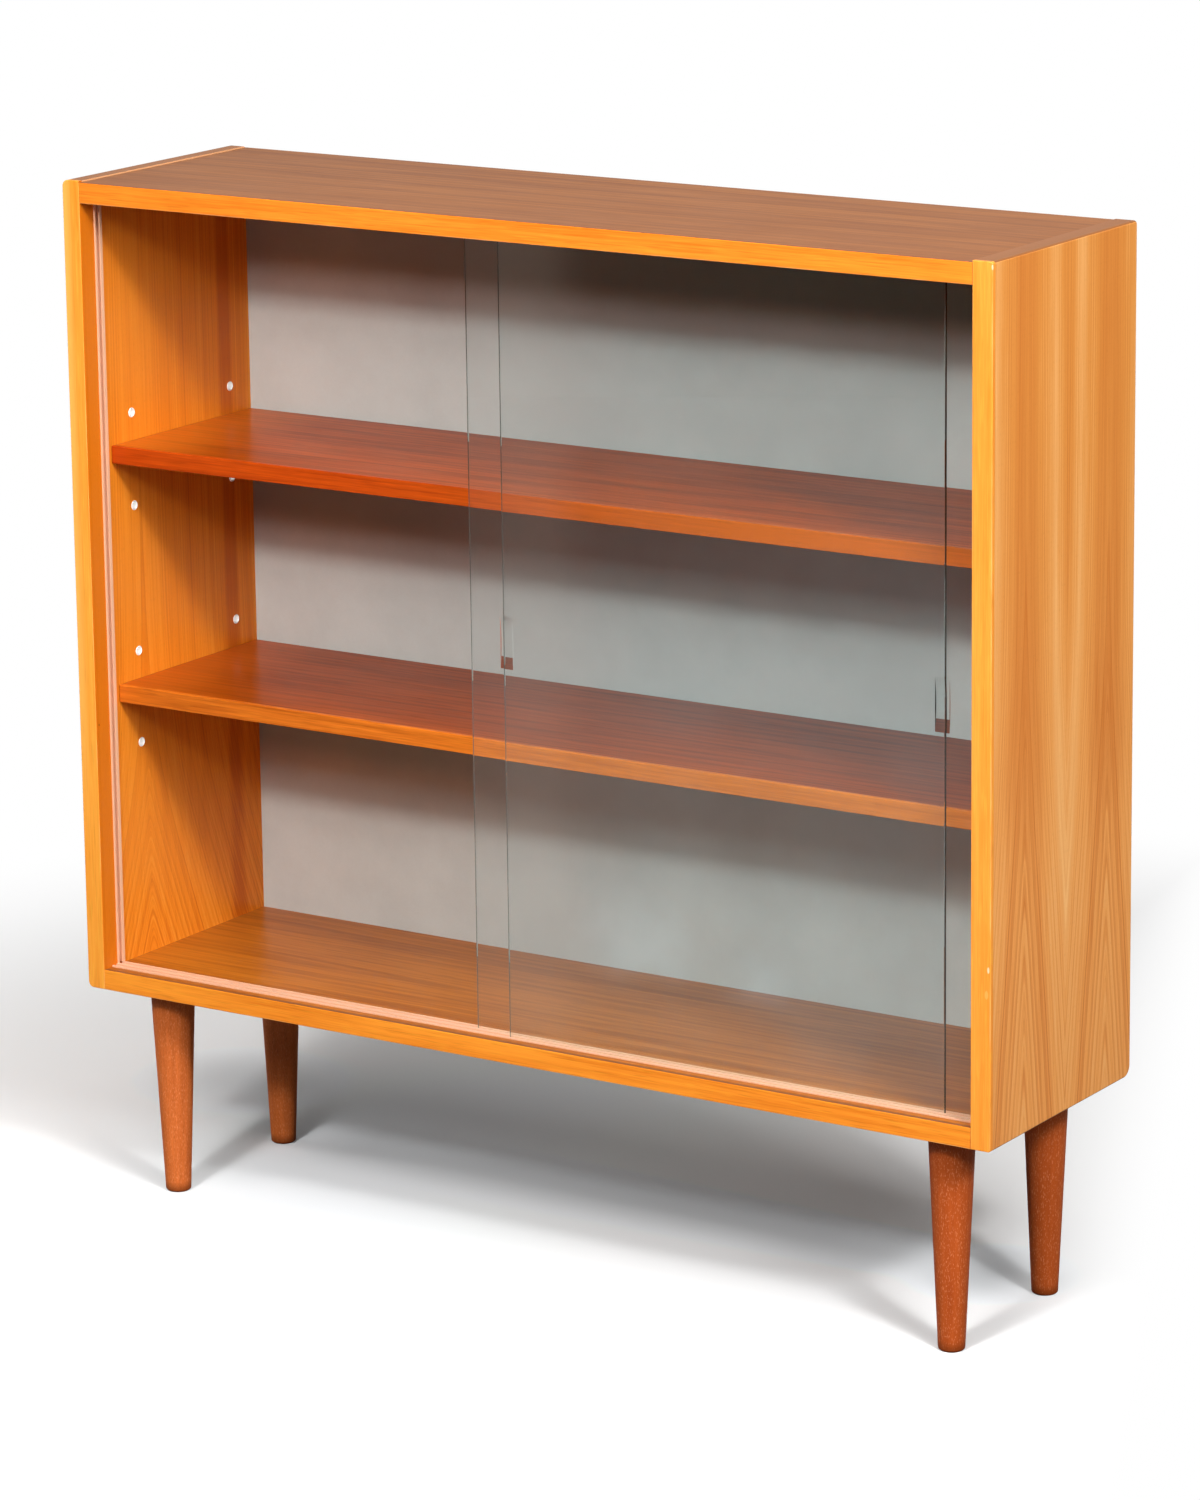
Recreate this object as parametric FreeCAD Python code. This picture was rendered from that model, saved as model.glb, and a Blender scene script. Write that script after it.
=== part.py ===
import FreeCAD, Part
import os
from FreeCAD import Vector

# A low bookcase on four turned legs, with two frameless glass doors that slide past each
# other in plastic tracks. Millimetres. The origin is on the floor, under the middle of the
# footprint. X runs to the right along the width, Y from the front to the back, Z up.

# Carcass boards
overall_width = 1100.0
carcass_depth = 290.0
carcass_height = 870.0
side_thickness = 22.0
top_thickness = 22.0
bottom_thickness = 22.0
top_recess = 1.5  # the side panels stand this much above the top panel
lipping_depth = 5.0  # solid strip glued on each front edge
arris_radius = 0.9  # softened long edges of the strips
left_foot_radius = 6.5  # worn lower outside edge of the left side
right_foot_radius = 2.5  # lower outside edge of the right side
back_heel_radius = 12.0  # lower back corner of both sides
back_top_radius = 4.5  # upper back corner of both sides

# Back panel, set in rebates all round
back_thickness = 3.0
rebate_width = 10.0
back_clearance = 0.5
nail_diameter = 1.6
nail_length = 18.0
nail_head_diameter = 3.4
nail_head_height = 0.8
nail_pitch = 130.0
fewest_nail_spaces = 2  # along any edge
nail_clearance = 0.1

# Dowels between the sides and the two long boards
dowel_diameter = 8.0
dowel_depth_in_side = 12.0
dowel_depth_in_board = 24.0
dowel_front_inset = 50.0
dowel_back_inset = 40.0
dowel_count = 4
dowel_clearance = 0.1
dowel_end_gap = 0.5
dowel_chamfer = 0.8

# Glass and its tracks
glass_thickness = 4.0
door_overlap = 37.0  # width of the strip where the two closed doors pass each other
left_door_gap = 42.5  # from the right edge of the half-open left door to the right side panel
track_setback = 13.0
track_front_rib = 2.5
track_groove = 5.0
track_middle_rib = 4.5
track_rear_rib = 3.0
track_proud = 1.5
track_base = 1.0
bottom_track_inlet = 5.0
top_track_inlet = 10.0
inlet_clearance = 0.1
track_end_gap = 0.3
glass_rest_gap = 0.3
glass_lift_room = 6.0  # height above the glass in the top track, so that a door lifts out
glass_edge_chamfer = 0.4

# Upright channels that take the outer edge of a closed door
channel_front_lip = 2.0
channel_slot = 5.5
channel_rear_lip = 4.0
channel_proud = 1.5
channel_base = 1.0
channel_inlet = 5.0
channel_end_gap = 0.2
door_stop_gap = 0.5

# Finger pulls ground into the glass
pull_width = 16.0
pull_height = 54.0
pull_depth = 2.4
pull_inset = 44.0  # from the outer edge of the door to the middle of the pull
pull_level = 434.0  # above the underside of the carcass

# Shelves on pins
shelf_thickness = 19.0
shelf_lipping_depth = 5.0
shelf_front_setback = 40.0
shelf_back_gap = 3.0
shelf_end_gap = 1.0
upper_socket_level = 564.0  # above the underside of the carcass
lower_socket_level = 306.0
socket_pitch = 50.0
sockets_per_group = 3
socket_front_inset = 76.5
socket_back_inset = 40.0
socket_barrel_diameter = 9.2
socket_collar_diameter = 10.4
socket_collar_height = 0.6
socket_depth = 11.0
socket_floor = 1.0
socket_clearance = 0.1
pin_diameter = 8.0
pin_clearance = 0.1
pin_reach = 10.0  # how far a pin stands out under the shelf
pin_end_gap = 0.3
pin_flat_rise = 1.5  # the flat that carries the shelf, above the pin's axis

# Legs
leg_length = 230.0
leg_top_diameter = 48.0
leg_foot_diameter = 27.0
leg_foot_radius = 3.0
leg_top_chamfer = 0.6
leg_side_inset = 72.0
leg_front_inset = 53.0
leg_back_inset = 45.0
stud_diameter = 8.0
stud_depth_in_leg = 30.0
stud_depth_in_board = 13.0
stud_chamfer = 0.8
stud_clearance = 0.1
stud_end_gap = 1.0
insert_diameter = 12.0
insert_length = 15.0
insert_clearance = 0.1

# Planes of the carcass
half_width = overall_width / 2
inner_x = half_width - side_thickness
front_y = -carcass_depth / 2
back_y = carcass_depth / 2
base_z = leg_length
crown_z = base_z + carcass_height
floor_z = base_z + bottom_thickness
top_face_z = crown_z - top_recess
ceiling_z = top_face_z - top_thickness
lipping_y = front_y + lipping_depth
back_face_y = back_y - back_thickness

# Planes of the tracks, channels and doors
track_y = front_y + track_setback
track_width = track_front_rib + 2 * track_groove + track_middle_rib + track_rear_rib
front_groove_y = track_y + track_front_rib + track_groove / 2
rear_groove_y = front_groove_y + track_groove + track_middle_rib
bottom_groove_z = floor_z - bottom_track_inlet + track_base
top_groove_z = ceiling_z + top_track_inlet - track_base
channel_width = channel_front_lip + channel_slot + channel_rear_lip
channel_low_z = floor_z + track_proud + channel_end_gap
channel_high_z = ceiling_z - track_proud - channel_end_gap
closed_edge_x = inner_x + channel_inlet - channel_base - door_stop_gap
door_width = closed_edge_x + door_overlap / 2
left_door_x = inner_x - left_door_gap - door_width
door_low_z = bottom_groove_z + glass_rest_gap
door_high_z = top_groove_z - glass_lift_room

# Planes of the shelves
shelf_front_y = front_y + shelf_front_setback
shelf_back_y = back_face_y - shelf_back_gap
shelf_half_length = inner_x - shelf_end_gap
socket_columns_y = [front_y + socket_front_inset, back_y - socket_back_inset]
socket_levels_z = [base_z + upper_socket_level, base_z + lower_socket_level]

X_AXIS = Vector(1, 0, 0)
Y_AXIS = Vector(0, 1, 0)
Z_AXIS = Vector(0, 0, 1)
PAST = 1.0  # how far a cutter runs past the face it opens
SAME_PLACE = 1e-4  # two coordinates nearer than this are one


def block(x_low, x_high, y_low, y_high, z_low, z_high):
    corner = Vector(x_low, y_low, z_low)
    return Part.makeBox(x_high - x_low, y_high - y_low, z_high - z_low, corner)


def rod(radius, length, start, direction):
    return Part.makeCylinder(radius, length, start, direction)


def near(value, target):
    return abs(value - target) < SAME_PLACE


def rounded(solid, radius, wanted):
    """The solid with each edge whose bounding box passes the test rounded."""
    edges = [edge for edge in solid.Edges if wanted(edge.BoundBox)]
    return solid.makeFillet(radius, edges)


def rims(solid, level):
    """The circular edges of a turned solid that lie at one height."""
    found = []
    for edge in solid.Edges:
        if isinstance(edge.Curve, Part.Circle) and near(edge.CenterOfMass.z, level):
            found.append(edge)
    return found


def save(name, solids):
    """Writes one node: a single solid, or a group of separate ones."""
    shape = solids[0] if len(solids) == 1 else Part.makeCompound(solids)
    shape.exportStep("parts/" + name + ".step")


def dowel_rows():
    """Distances along the depth at which the boards are dowelled."""
    first = front_y + dowel_front_inset
    last = back_y - dowel_back_inset
    step = (last - first) / (dowel_count - 1)
    return [first + step * i for i in range(dowel_count)]


def dowel_holes(side, level):
    """Cutters for one row of dowels, reaching into the side panel and the board's end."""
    hole_radius = dowel_diameter / 2 + dowel_clearance
    length = dowel_depth_in_side + dowel_depth_in_board
    start_x = side * (inner_x + dowel_depth_in_side)
    direction = Vector(-side, 0, 0)
    return [rod(hole_radius, length, Vector(start_x, y, level), direction) for y in dowel_rows()]


def dowels(side, level):
    """One row of dowels, a little shorter than their holes, with eased ends."""
    length = dowel_depth_in_side + dowel_depth_in_board - 2 * dowel_end_gap
    start_x = side * (inner_x + dowel_depth_in_side - dowel_end_gap)
    direction = Vector(-side, 0, 0)
    solids = []
    for y in dowel_rows():
        dowel = rod(dowel_diameter / 2, length, Vector(start_x, y, level), direction)
        solids.append(dowel.makeChamfer(dowel_chamfer, rims(dowel, level)))
    return solids


def socket_places():
    """Depth and level of every shelf-pin socket on one side."""
    places = []
    for level in socket_levels_z:
        for step in range(sockets_per_group):
            rise = (step - (sockets_per_group - 1) / 2) * socket_pitch
            for y in socket_columns_y:
                places.append((y, level + rise))
    return places


def socket_holes(side):
    hole_radius = socket_barrel_diameter / 2 + socket_clearance
    direction = Vector(side, 0, 0)
    holes = []
    for y, z in socket_places():
        holes.append(rod(hole_radius, socket_depth + PAST, Vector(side * (inner_x - PAST), y, z), direction))
    return holes


def sockets(side):
    """Plastic cups pressed into the side panel, each with a thin collar on its face."""
    inward = Vector(-side, 0, 0)
    bore_radius = pin_diameter / 2 + pin_clearance
    solids = []
    for y, z in socket_places():
        bottom = Vector(side * (inner_x + socket_depth), y, z)
        face = Vector(side * inner_x, y, z)
        floor = Vector(side * (inner_x + socket_depth - socket_floor), y, z)
        barrel = rod(socket_barrel_diameter / 2, socket_depth, bottom, inward)
        collar = rod(socket_collar_diameter / 2, socket_collar_height, face, inward)
        bore = rod(bore_radius, socket_depth + socket_collar_height + PAST, floor, inward)
        solids.append(barrel.fuse(collar).cut(bore).removeSplitter())
    return solids


def shelf_pins(level):
    """Four pins under one shelf: round in the socket, cut to a flat where the shelf lies."""
    solids = []
    in_socket = socket_depth - socket_floor - pin_end_gap
    for side in (-1, 1):
        inward = Vector(-side, 0, 0)
        for y in socket_columns_y:
            start = Vector(side * (inner_x + in_socket), y, level)
            pin = rod(pin_diameter / 2, in_socket + pin_reach, start, inward)
            tip = side * (inner_x - pin_reach - PAST)
            shoulder = side * (inner_x - socket_collar_height)
            above = block(
                min(tip, shoulder), max(tip, shoulder),
                y - pin_diameter, y + pin_diameter,
                level + pin_flat_rise, level + pin_diameter,
            )
            solids.append(pin.cut(above))
    return solids


def nail_places():
    """Centres of the nails round the back panel, with the middle of the rebate under each."""
    half_span = inner_x + rebate_width / 2
    low = floor_z - rebate_width / 2
    high = ceiling_z + rebate_width / 2
    across = max(fewest_nail_spaces, round(2 * half_span / nail_pitch))
    up = max(fewest_nail_spaces, round((high - low) / nail_pitch))
    places = []
    for i in range(across + 1):
        x = -half_span + 2 * half_span * i / across
        places.append((x, low))
        places.append((x, high))
    for i in range(1, up):
        z = low + (high - low) * i / up
        places.append((-half_span, z))
        places.append((half_span, z))
    return places


def nail_holes():
    """Cutters for the nails: a hole for each shank and a seat for each flat head."""
    shank_radius = nail_diameter / 2 + nail_clearance
    head_radius = nail_head_diameter / 2 + nail_clearance
    cutters = []
    for x, z in nail_places():
        start = Vector(x, back_y + PAST, z)
        cutters.append(rod(shank_radius, nail_length + PAST + nail_clearance, start, -Y_AXIS))
        cutters.append(rod(head_radius, nail_head_height + PAST, start, -Y_AXIS))
    return cutters


def back_panel_nails():
    solids = []
    for x, z in nail_places():
        start = Vector(x, back_y, z)
        shank = rod(nail_diameter / 2, nail_length, start, -Y_AXIS)
        head = rod(nail_head_diameter / 2, nail_head_height, start, -Y_AXIS)
        solids.append(shank.fuse(head).removeSplitter())
    return solids


def back_rebate():
    """The room that the back panel's rebates take out of the four boards."""
    span = inner_x + rebate_width
    return block(
        -span, span, back_face_y, back_y + PAST, floor_z - rebate_width, ceiling_z + rebate_width
    )


def channel_front_y(groove_y):
    return groove_y - channel_slot / 2 - channel_front_lip


def channel_inlet_room(side, groove_y):
    """The upright groove in a side panel, as tall as the room that the glass needs."""
    y_low = channel_front_y(groove_y) - inlet_clearance
    y_high = y_low + channel_width + 2 * inlet_clearance
    x_face = side * (inner_x - PAST)
    x_floor = side * (inner_x + channel_inlet)
    return block(
        min(x_face, x_floor), max(x_face, x_floor), y_low, y_high, bottom_groove_z, top_groove_z
    )


def side_blank(side, foot_radius):
    """One side panel with its front strip still joined to it, before any hole is made."""
    x_outer = side * half_width
    x_inner = side * inner_x
    solid = block(min(x_outer, x_inner), max(x_outer, x_inner), front_y, back_y, base_z, crown_z)
    solid = rounded(
        solid, back_heel_radius, lambda box: near(box.YMin, back_y) and near(box.ZMax, base_z)
    )
    solid = rounded(
        solid, back_top_radius, lambda box: near(box.YMin, back_y) and near(box.ZMin, crown_z)
    )
    solid = rounded(
        solid,
        foot_radius,
        lambda box: near(box.ZMax, base_z) and near(box.XMin, x_outer) and near(box.XMax, x_outer),
    )
    return rounded(
        solid,
        arris_radius,
        lambda box: near(box.YMax, front_y) and box.ZLength > carcass_height / 2,
    )


def strip_room():
    """Everything in front of the plane where the front strips are glued on."""
    reach = half_width + PAST
    return block(-reach, reach, front_y - PAST, lipping_y, base_z - PAST, crown_z + PAST)


def side_panel(side, foot_radius, groove_y):
    cutters = [strip_room(), back_rebate(), channel_inlet_room(side, groove_y)]
    cutters += dowel_holes(side, base_z + bottom_thickness / 2)
    cutters += dowel_holes(side, ceiling_z + top_thickness / 2)
    cutters += socket_holes(side)
    cutters += nail_holes()
    return side_blank(side, foot_radius).cut(cutters)


def side_lipping(side, foot_radius):
    return side_blank(side, foot_radius).common(strip_room())


def long_board_blank(z_low, z_high):
    """The top or bottom board with its front strip, between the two sides."""
    solid = block(-inner_x, inner_x, front_y, back_y, z_low, z_high)
    return rounded(
        solid,
        arris_radius,
        lambda box: near(box.YMax, front_y) and box.XLength > inner_x,
    )


def track_inlet_room(z_low, z_high):
    reach = inner_x + PAST
    return block(
        -reach, reach, track_y - inlet_clearance, track_y + track_width + inlet_clearance, z_low, z_high
    )


def top_panel():
    middle = ceiling_z + top_thickness / 2
    cutters = [strip_room(), back_rebate()]
    cutters.append(track_inlet_room(ceiling_z - PAST, ceiling_z + top_track_inlet))
    cutters += dowel_holes(-1, middle)
    cutters += dowel_holes(1, middle)
    cutters += nail_holes()
    return long_board_blank(ceiling_z, top_face_z).cut(cutters)


def bottom_panel():
    middle = base_z + bottom_thickness / 2
    cutters = [strip_room(), back_rebate()]
    cutters.append(track_inlet_room(floor_z - bottom_track_inlet, floor_z + PAST))
    cutters += dowel_holes(-1, middle)
    cutters += dowel_holes(1, middle)
    cutters += nail_holes()
    for x, y in leg_places().values():
        hole_radius = insert_diameter / 2 + insert_clearance
        start = Vector(x, y, base_z - PAST)
        cutters.append(rod(hole_radius, insert_length + PAST, start, Z_AXIS))
    return long_board_blank(base_z, floor_z).cut(cutters)


def back_panel():
    half_span = inner_x + rebate_width - back_clearance
    sheet = block(
        -half_span, half_span, back_face_y, back_y,
        floor_z - rebate_width + back_clearance, ceiling_z + rebate_width - back_clearance,
    )
    return sheet.cut(nail_holes())


def track(face_z, inlet, up):
    """A double track along the width. up is 1 where the grooves open upwards, -1 downwards."""
    half_length = inner_x - track_end_gap
    seat_z = face_z - up * inlet
    rib_z = face_z + up * track_proud
    groove_z = seat_z + up * track_base
    body = block(
        -half_length, half_length, track_y, track_y + track_width,
        min(seat_z, rib_z), max(seat_z, rib_z),
    )
    grooves = []
    for centre in (front_groove_y, rear_groove_y):
        past_rib = rib_z + up * PAST
        grooves.append(block(
            -half_length - PAST, half_length + PAST,
            centre - track_groove / 2, centre + track_groove / 2,
            min(groove_z, past_rib), max(groove_z, past_rib),
        ))
    return body.cut(grooves)


def side_channel(side, groove_y):
    """A single upright channel let into a side panel, with a narrow and a wide lip."""
    y_low = channel_front_y(groove_y)
    seat = side * (inner_x + channel_inlet)
    lip = side * (inner_x - channel_proud)
    slot_floor = side * (inner_x + channel_inlet - channel_base)
    past_lip = side * (inner_x - channel_proud - PAST)
    body = block(
        min(seat, lip), max(seat, lip), y_low, y_low + channel_width, channel_low_z, channel_high_z
    )
    slot = block(
        min(slot_floor, past_lip), max(slot_floor, past_lip),
        groove_y - channel_slot / 2, groove_y + channel_slot / 2,
        channel_low_z - PAST, channel_high_z + PAST,
    )
    return body.cut(slot)


def glass_door(outer_edge_x, side, groove_y):
    """A glass sheet with a ground finger pull near its outer edge. side is that edge's side."""
    inner_edge_x = outer_edge_x - side * door_width
    y_low = groove_y - glass_thickness / 2
    sheet = block(
        min(outer_edge_x, inner_edge_x), max(outer_edge_x, inner_edge_x),
        y_low, y_low + glass_thickness, door_low_z, door_high_z,
    )
    face_edges = [edge for edge in sheet.Edges if near(edge.BoundBox.YLength, 0)]
    sheet = sheet.makeChamfer(glass_edge_chamfer, face_edges)
    wheel_radius = (pull_height ** 2 / 4 + pull_depth ** 2) / (2 * pull_depth)
    pull_x = outer_edge_x - side * pull_inset
    wheel_start = Vector(
        pull_x - pull_width / 2, y_low + pull_depth - wheel_radius, base_z + pull_level
    )
    return sheet.cut(rod(wheel_radius, pull_width, wheel_start, X_AXIS))


def shelf_blank(level):
    z_low = level + pin_flat_rise
    z_high = z_low + shelf_thickness
    solid = block(-shelf_half_length, shelf_half_length, shelf_front_y, shelf_back_y, z_low, z_high)
    return rounded(
        solid,
        arris_radius,
        lambda box: near(box.YMax, shelf_front_y) and box.XLength > shelf_half_length,
    )


def shelf_strip_room(level):
    reach = shelf_half_length + PAST
    return block(
        -reach, reach, shelf_front_y - PAST, shelf_front_y + shelf_lipping_depth,
        level, level + pin_flat_rise + shelf_thickness + PAST,
    )


def leg_places():
    x = half_width - leg_side_inset
    y_front = front_y + leg_front_inset
    y_back = back_y - leg_back_inset
    return {
        "front_left_leg": (-x, y_front),
        "front_right_leg": (x, y_front),
        "back_left_leg": (-x, y_back),
        "back_right_leg": (x, y_back),
    }


def leg(x, y):
    """A straight taper turned round a vertical axis, with a rounded foot edge."""
    top = leg_top_diameter / 2
    foot = leg_foot_diameter / 2
    cone = Part.makeCone(foot, top, leg_length, Vector(x, y, 0), Z_AXIS)
    cone = cone.makeFillet(leg_foot_radius, rims(cone, 0))
    cone = cone.makeChamfer(leg_top_chamfer, rims(cone, leg_length))
    hole_depth = stud_depth_in_leg + stud_end_gap
    hole_radius = stud_diameter / 2 + stud_clearance
    hole = rod(hole_radius, hole_depth + PAST, Vector(x, y, leg_length - hole_depth), Z_AXIS)
    return cone.cut(hole)


def leg_studs():
    solids = []
    for x, y in leg_places().values():
        start = Vector(x, y, base_z - stud_depth_in_leg)
        length = stud_depth_in_leg + stud_depth_in_board
        stud = rod(stud_diameter / 2, length, start, Z_AXIS)
        ends = rims(stud, start.z) + rims(stud, start.z + length)
        solids.append(stud.makeChamfer(stud_chamfer, ends))
    return solids


def leg_inserts():
    """Threaded sleeves in the underside of the bottom panel."""
    solids = []
    for x, y in leg_places().values():
        start = Vector(x, y, base_z)
        sleeve = rod(insert_diameter / 2, insert_length, start, Z_AXIS)
        bore_start = Vector(x, y, base_z - PAST)
        bore = rod(stud_diameter / 2 + stud_clearance, insert_length + 2 * PAST, bore_start, Z_AXIS)
        solids.append(sleeve.cut(bore))
    return solids


def main():
    os.makedirs("parts", exist_ok=True)
    top_middle = ceiling_z + top_thickness / 2
    bottom_middle = base_z + bottom_thickness / 2

    save("left_side_panel", [side_panel(-1, left_foot_radius, rear_groove_y)])
    save("right_side_panel", [side_panel(1, right_foot_radius, front_groove_y)])
    save("left_side_lipping", [side_lipping(-1, left_foot_radius)])
    save("right_side_lipping", [side_lipping(1, right_foot_radius)])
    save("top_panel", [top_panel()])
    save("top_lipping", [long_board_blank(ceiling_z, top_face_z).common(strip_room())])
    save("bottom_panel", [bottom_panel()])
    save("bottom_lipping", [long_board_blank(base_z, floor_z).common(strip_room())])
    save("back_panel", [back_panel()])
    save("back_panel_nails", back_panel_nails())

    save("top_left_dowels", dowels(-1, top_middle))
    save("top_right_dowels", dowels(1, top_middle))
    save("bottom_left_dowels", dowels(-1, bottom_middle))
    save("bottom_right_dowels", dowels(1, bottom_middle))

    for name, level in zip(("upper_shelf", "lower_shelf"), socket_levels_z):
        save(name, [shelf_blank(level).cut(shelf_strip_room(level))])
        save(name + "_lipping", [shelf_blank(level).common(shelf_strip_room(level))])
        save(name + "_pins", shelf_pins(level))
    save("left_shelf_sockets", sockets(-1))
    save("right_shelf_sockets", sockets(1))

    save("bottom_track", [track(floor_z, bottom_track_inlet, 1)])
    save("top_track", [track(ceiling_z, top_track_inlet, -1)])
    save("left_side_channel", [side_channel(-1, rear_groove_y)])
    save("right_side_channel", [side_channel(1, front_groove_y)])
    save("left_glass_door", [glass_door(left_door_x, -1, rear_groove_y)])
    save("right_glass_door", [glass_door(closed_edge_x, 1, front_groove_y)])

    for name, (x, y) in leg_places().items():
        save(name, [leg(x, y)])
    save("leg_studs", leg_studs())
    save("leg_inserts", leg_inserts())


main()
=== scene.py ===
"""A low bookcase on turned legs with two sliding glass doors: its finishes and its stage.

The construction comes from the frame, in metres: X along the width, Y from the front to the back,
Z up, with the origin on the floor under the middle. Wood grain runs along Z in the upright boards
and the legs, and along X in the boards that lie flat.
"""

import math

import bmesh
import bpy
from bpy.props import FloatProperty, FloatVectorProperty, PointerProperty
from mathutils import Matrix, Quaternion, Vector


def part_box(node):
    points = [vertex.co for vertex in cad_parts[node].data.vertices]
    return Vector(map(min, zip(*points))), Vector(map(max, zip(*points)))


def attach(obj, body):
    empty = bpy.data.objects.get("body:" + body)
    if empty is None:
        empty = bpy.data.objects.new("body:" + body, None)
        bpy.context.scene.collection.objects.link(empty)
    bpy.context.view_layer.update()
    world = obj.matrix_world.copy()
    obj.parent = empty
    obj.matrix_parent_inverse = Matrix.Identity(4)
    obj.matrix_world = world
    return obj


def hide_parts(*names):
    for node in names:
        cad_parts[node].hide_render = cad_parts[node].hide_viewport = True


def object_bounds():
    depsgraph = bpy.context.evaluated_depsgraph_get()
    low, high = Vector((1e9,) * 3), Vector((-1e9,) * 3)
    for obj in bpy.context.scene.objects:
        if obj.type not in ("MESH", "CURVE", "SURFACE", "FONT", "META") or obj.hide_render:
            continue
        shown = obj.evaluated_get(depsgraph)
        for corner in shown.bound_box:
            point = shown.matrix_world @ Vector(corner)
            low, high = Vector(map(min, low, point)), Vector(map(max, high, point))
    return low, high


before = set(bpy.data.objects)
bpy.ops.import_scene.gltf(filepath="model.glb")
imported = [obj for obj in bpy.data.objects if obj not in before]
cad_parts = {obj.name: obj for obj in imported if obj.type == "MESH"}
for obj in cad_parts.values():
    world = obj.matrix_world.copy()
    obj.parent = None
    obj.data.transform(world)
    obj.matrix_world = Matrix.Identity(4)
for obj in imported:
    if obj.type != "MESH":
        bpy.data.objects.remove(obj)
CAD_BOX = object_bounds()

bl_info = {
    "name": "Bookcase With Sliding Doors",
    "version": (1, 0, 0),
    "blender": (4, 5, 0),
    "location": "3D View > Sidebar > Bookcase",
    "description": "Finishes a bookcase with sliding glass doors and sets its stage",
    "category": "Object",
}

# Places read from the frame
CASE_LOW, CASE_HIGH = CAD_BOX
HALF_WIDTH = CASE_HIGH.x
FRONT_Y = CASE_LOW.y
BACK_Y = CASE_HIGH.y
UNDERSIDE_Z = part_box("bottom_panel")[0].z
CROWN_Z = CASE_HIGH.z
SIDE_THICKNESS = HALF_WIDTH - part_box("bottom_panel")[1].x
INNER_X = HALF_WIDTH - SIDE_THICKNESS

# Shelf-pin sockets: two columns on each side, and three levels for each shelf
FRONT_COLUMN_SETBACK = 0.0765
BACK_COLUMN_SETBACK = 0.040
SOCKET_PITCH = 0.050
MIDDLE_SOCKET_HEIGHTS = (0.564, 0.306)
SOCKET_COLUMNS = (FRONT_Y + FRONT_COLUMN_SETBACK, BACK_Y - BACK_COLUMN_SETBACK)
SOCKET_LEVELS = tuple(
    UNDERSIDE_Z + middle + step * SOCKET_PITCH for middle in MIDDLE_SOCKET_HEIGHTS for step in (-1, 0, 1)
)

# Nicks and specks on the upright strips: centre, half size, paint
STRIP_MARKS = (
    ((HALF_WIDTH - 0.0025, FRONT_Y, 0.413), (0.0014, 0.0016, 0.0036), (0.96, 0.72, 0.42)),
    ((HALF_WIDTH - 0.0006, FRONT_Y + 0.0006, CROWN_Z - 0.005), (0.0010, 0.0014, 0.0032), (0.96, 0.66, 0.36)),
    ((HALF_WIDTH - 0.0045, FRONT_Y, 0.388), (0.0022, 0.0022, 0.0050), (0.96, 0.44, 0.09)),
    ((-INNER_X, FRONT_Y + 0.0050, 0.520), (0.0010, 0.0016, 0.0012), (0.16, 0.035, 0.005)),
    ((-INNER_X, FRONT_Y + 0.0060, 0.484), (0.0010, 0.0012, 0.0010), (0.20, 0.045, 0.006)),
)

# Colours and the index of refraction that no setting changes
WHITE = (1.0, 1.0, 1.0)
BLACK = (0.0, 0.0, 0.0)
GLASS_IOR = 1.52


def colour(name, description, default):
    return FloatVectorProperty(
        name=name, description=description, default=default, size=3, subtype="COLOR", min=0, max=1
    )


def length(name, description, default):
    return FloatProperty(name=name, description=description, default=default, unit="LENGTH", precision=4)


def angle(name, description, degrees):
    return FloatProperty(
        name=name, description=description, default=math.radians(degrees), unit="ROTATION"
    )


def share(name, description, default):
    return FloatProperty(name=name, description=description, default=default, min=0, max=1, subtype="FACTOR")


def power(name, description, default):
    return FloatProperty(name=name, description=description, default=default, unit="POWER")


# ---------------------------------------------------------------- settings


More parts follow.
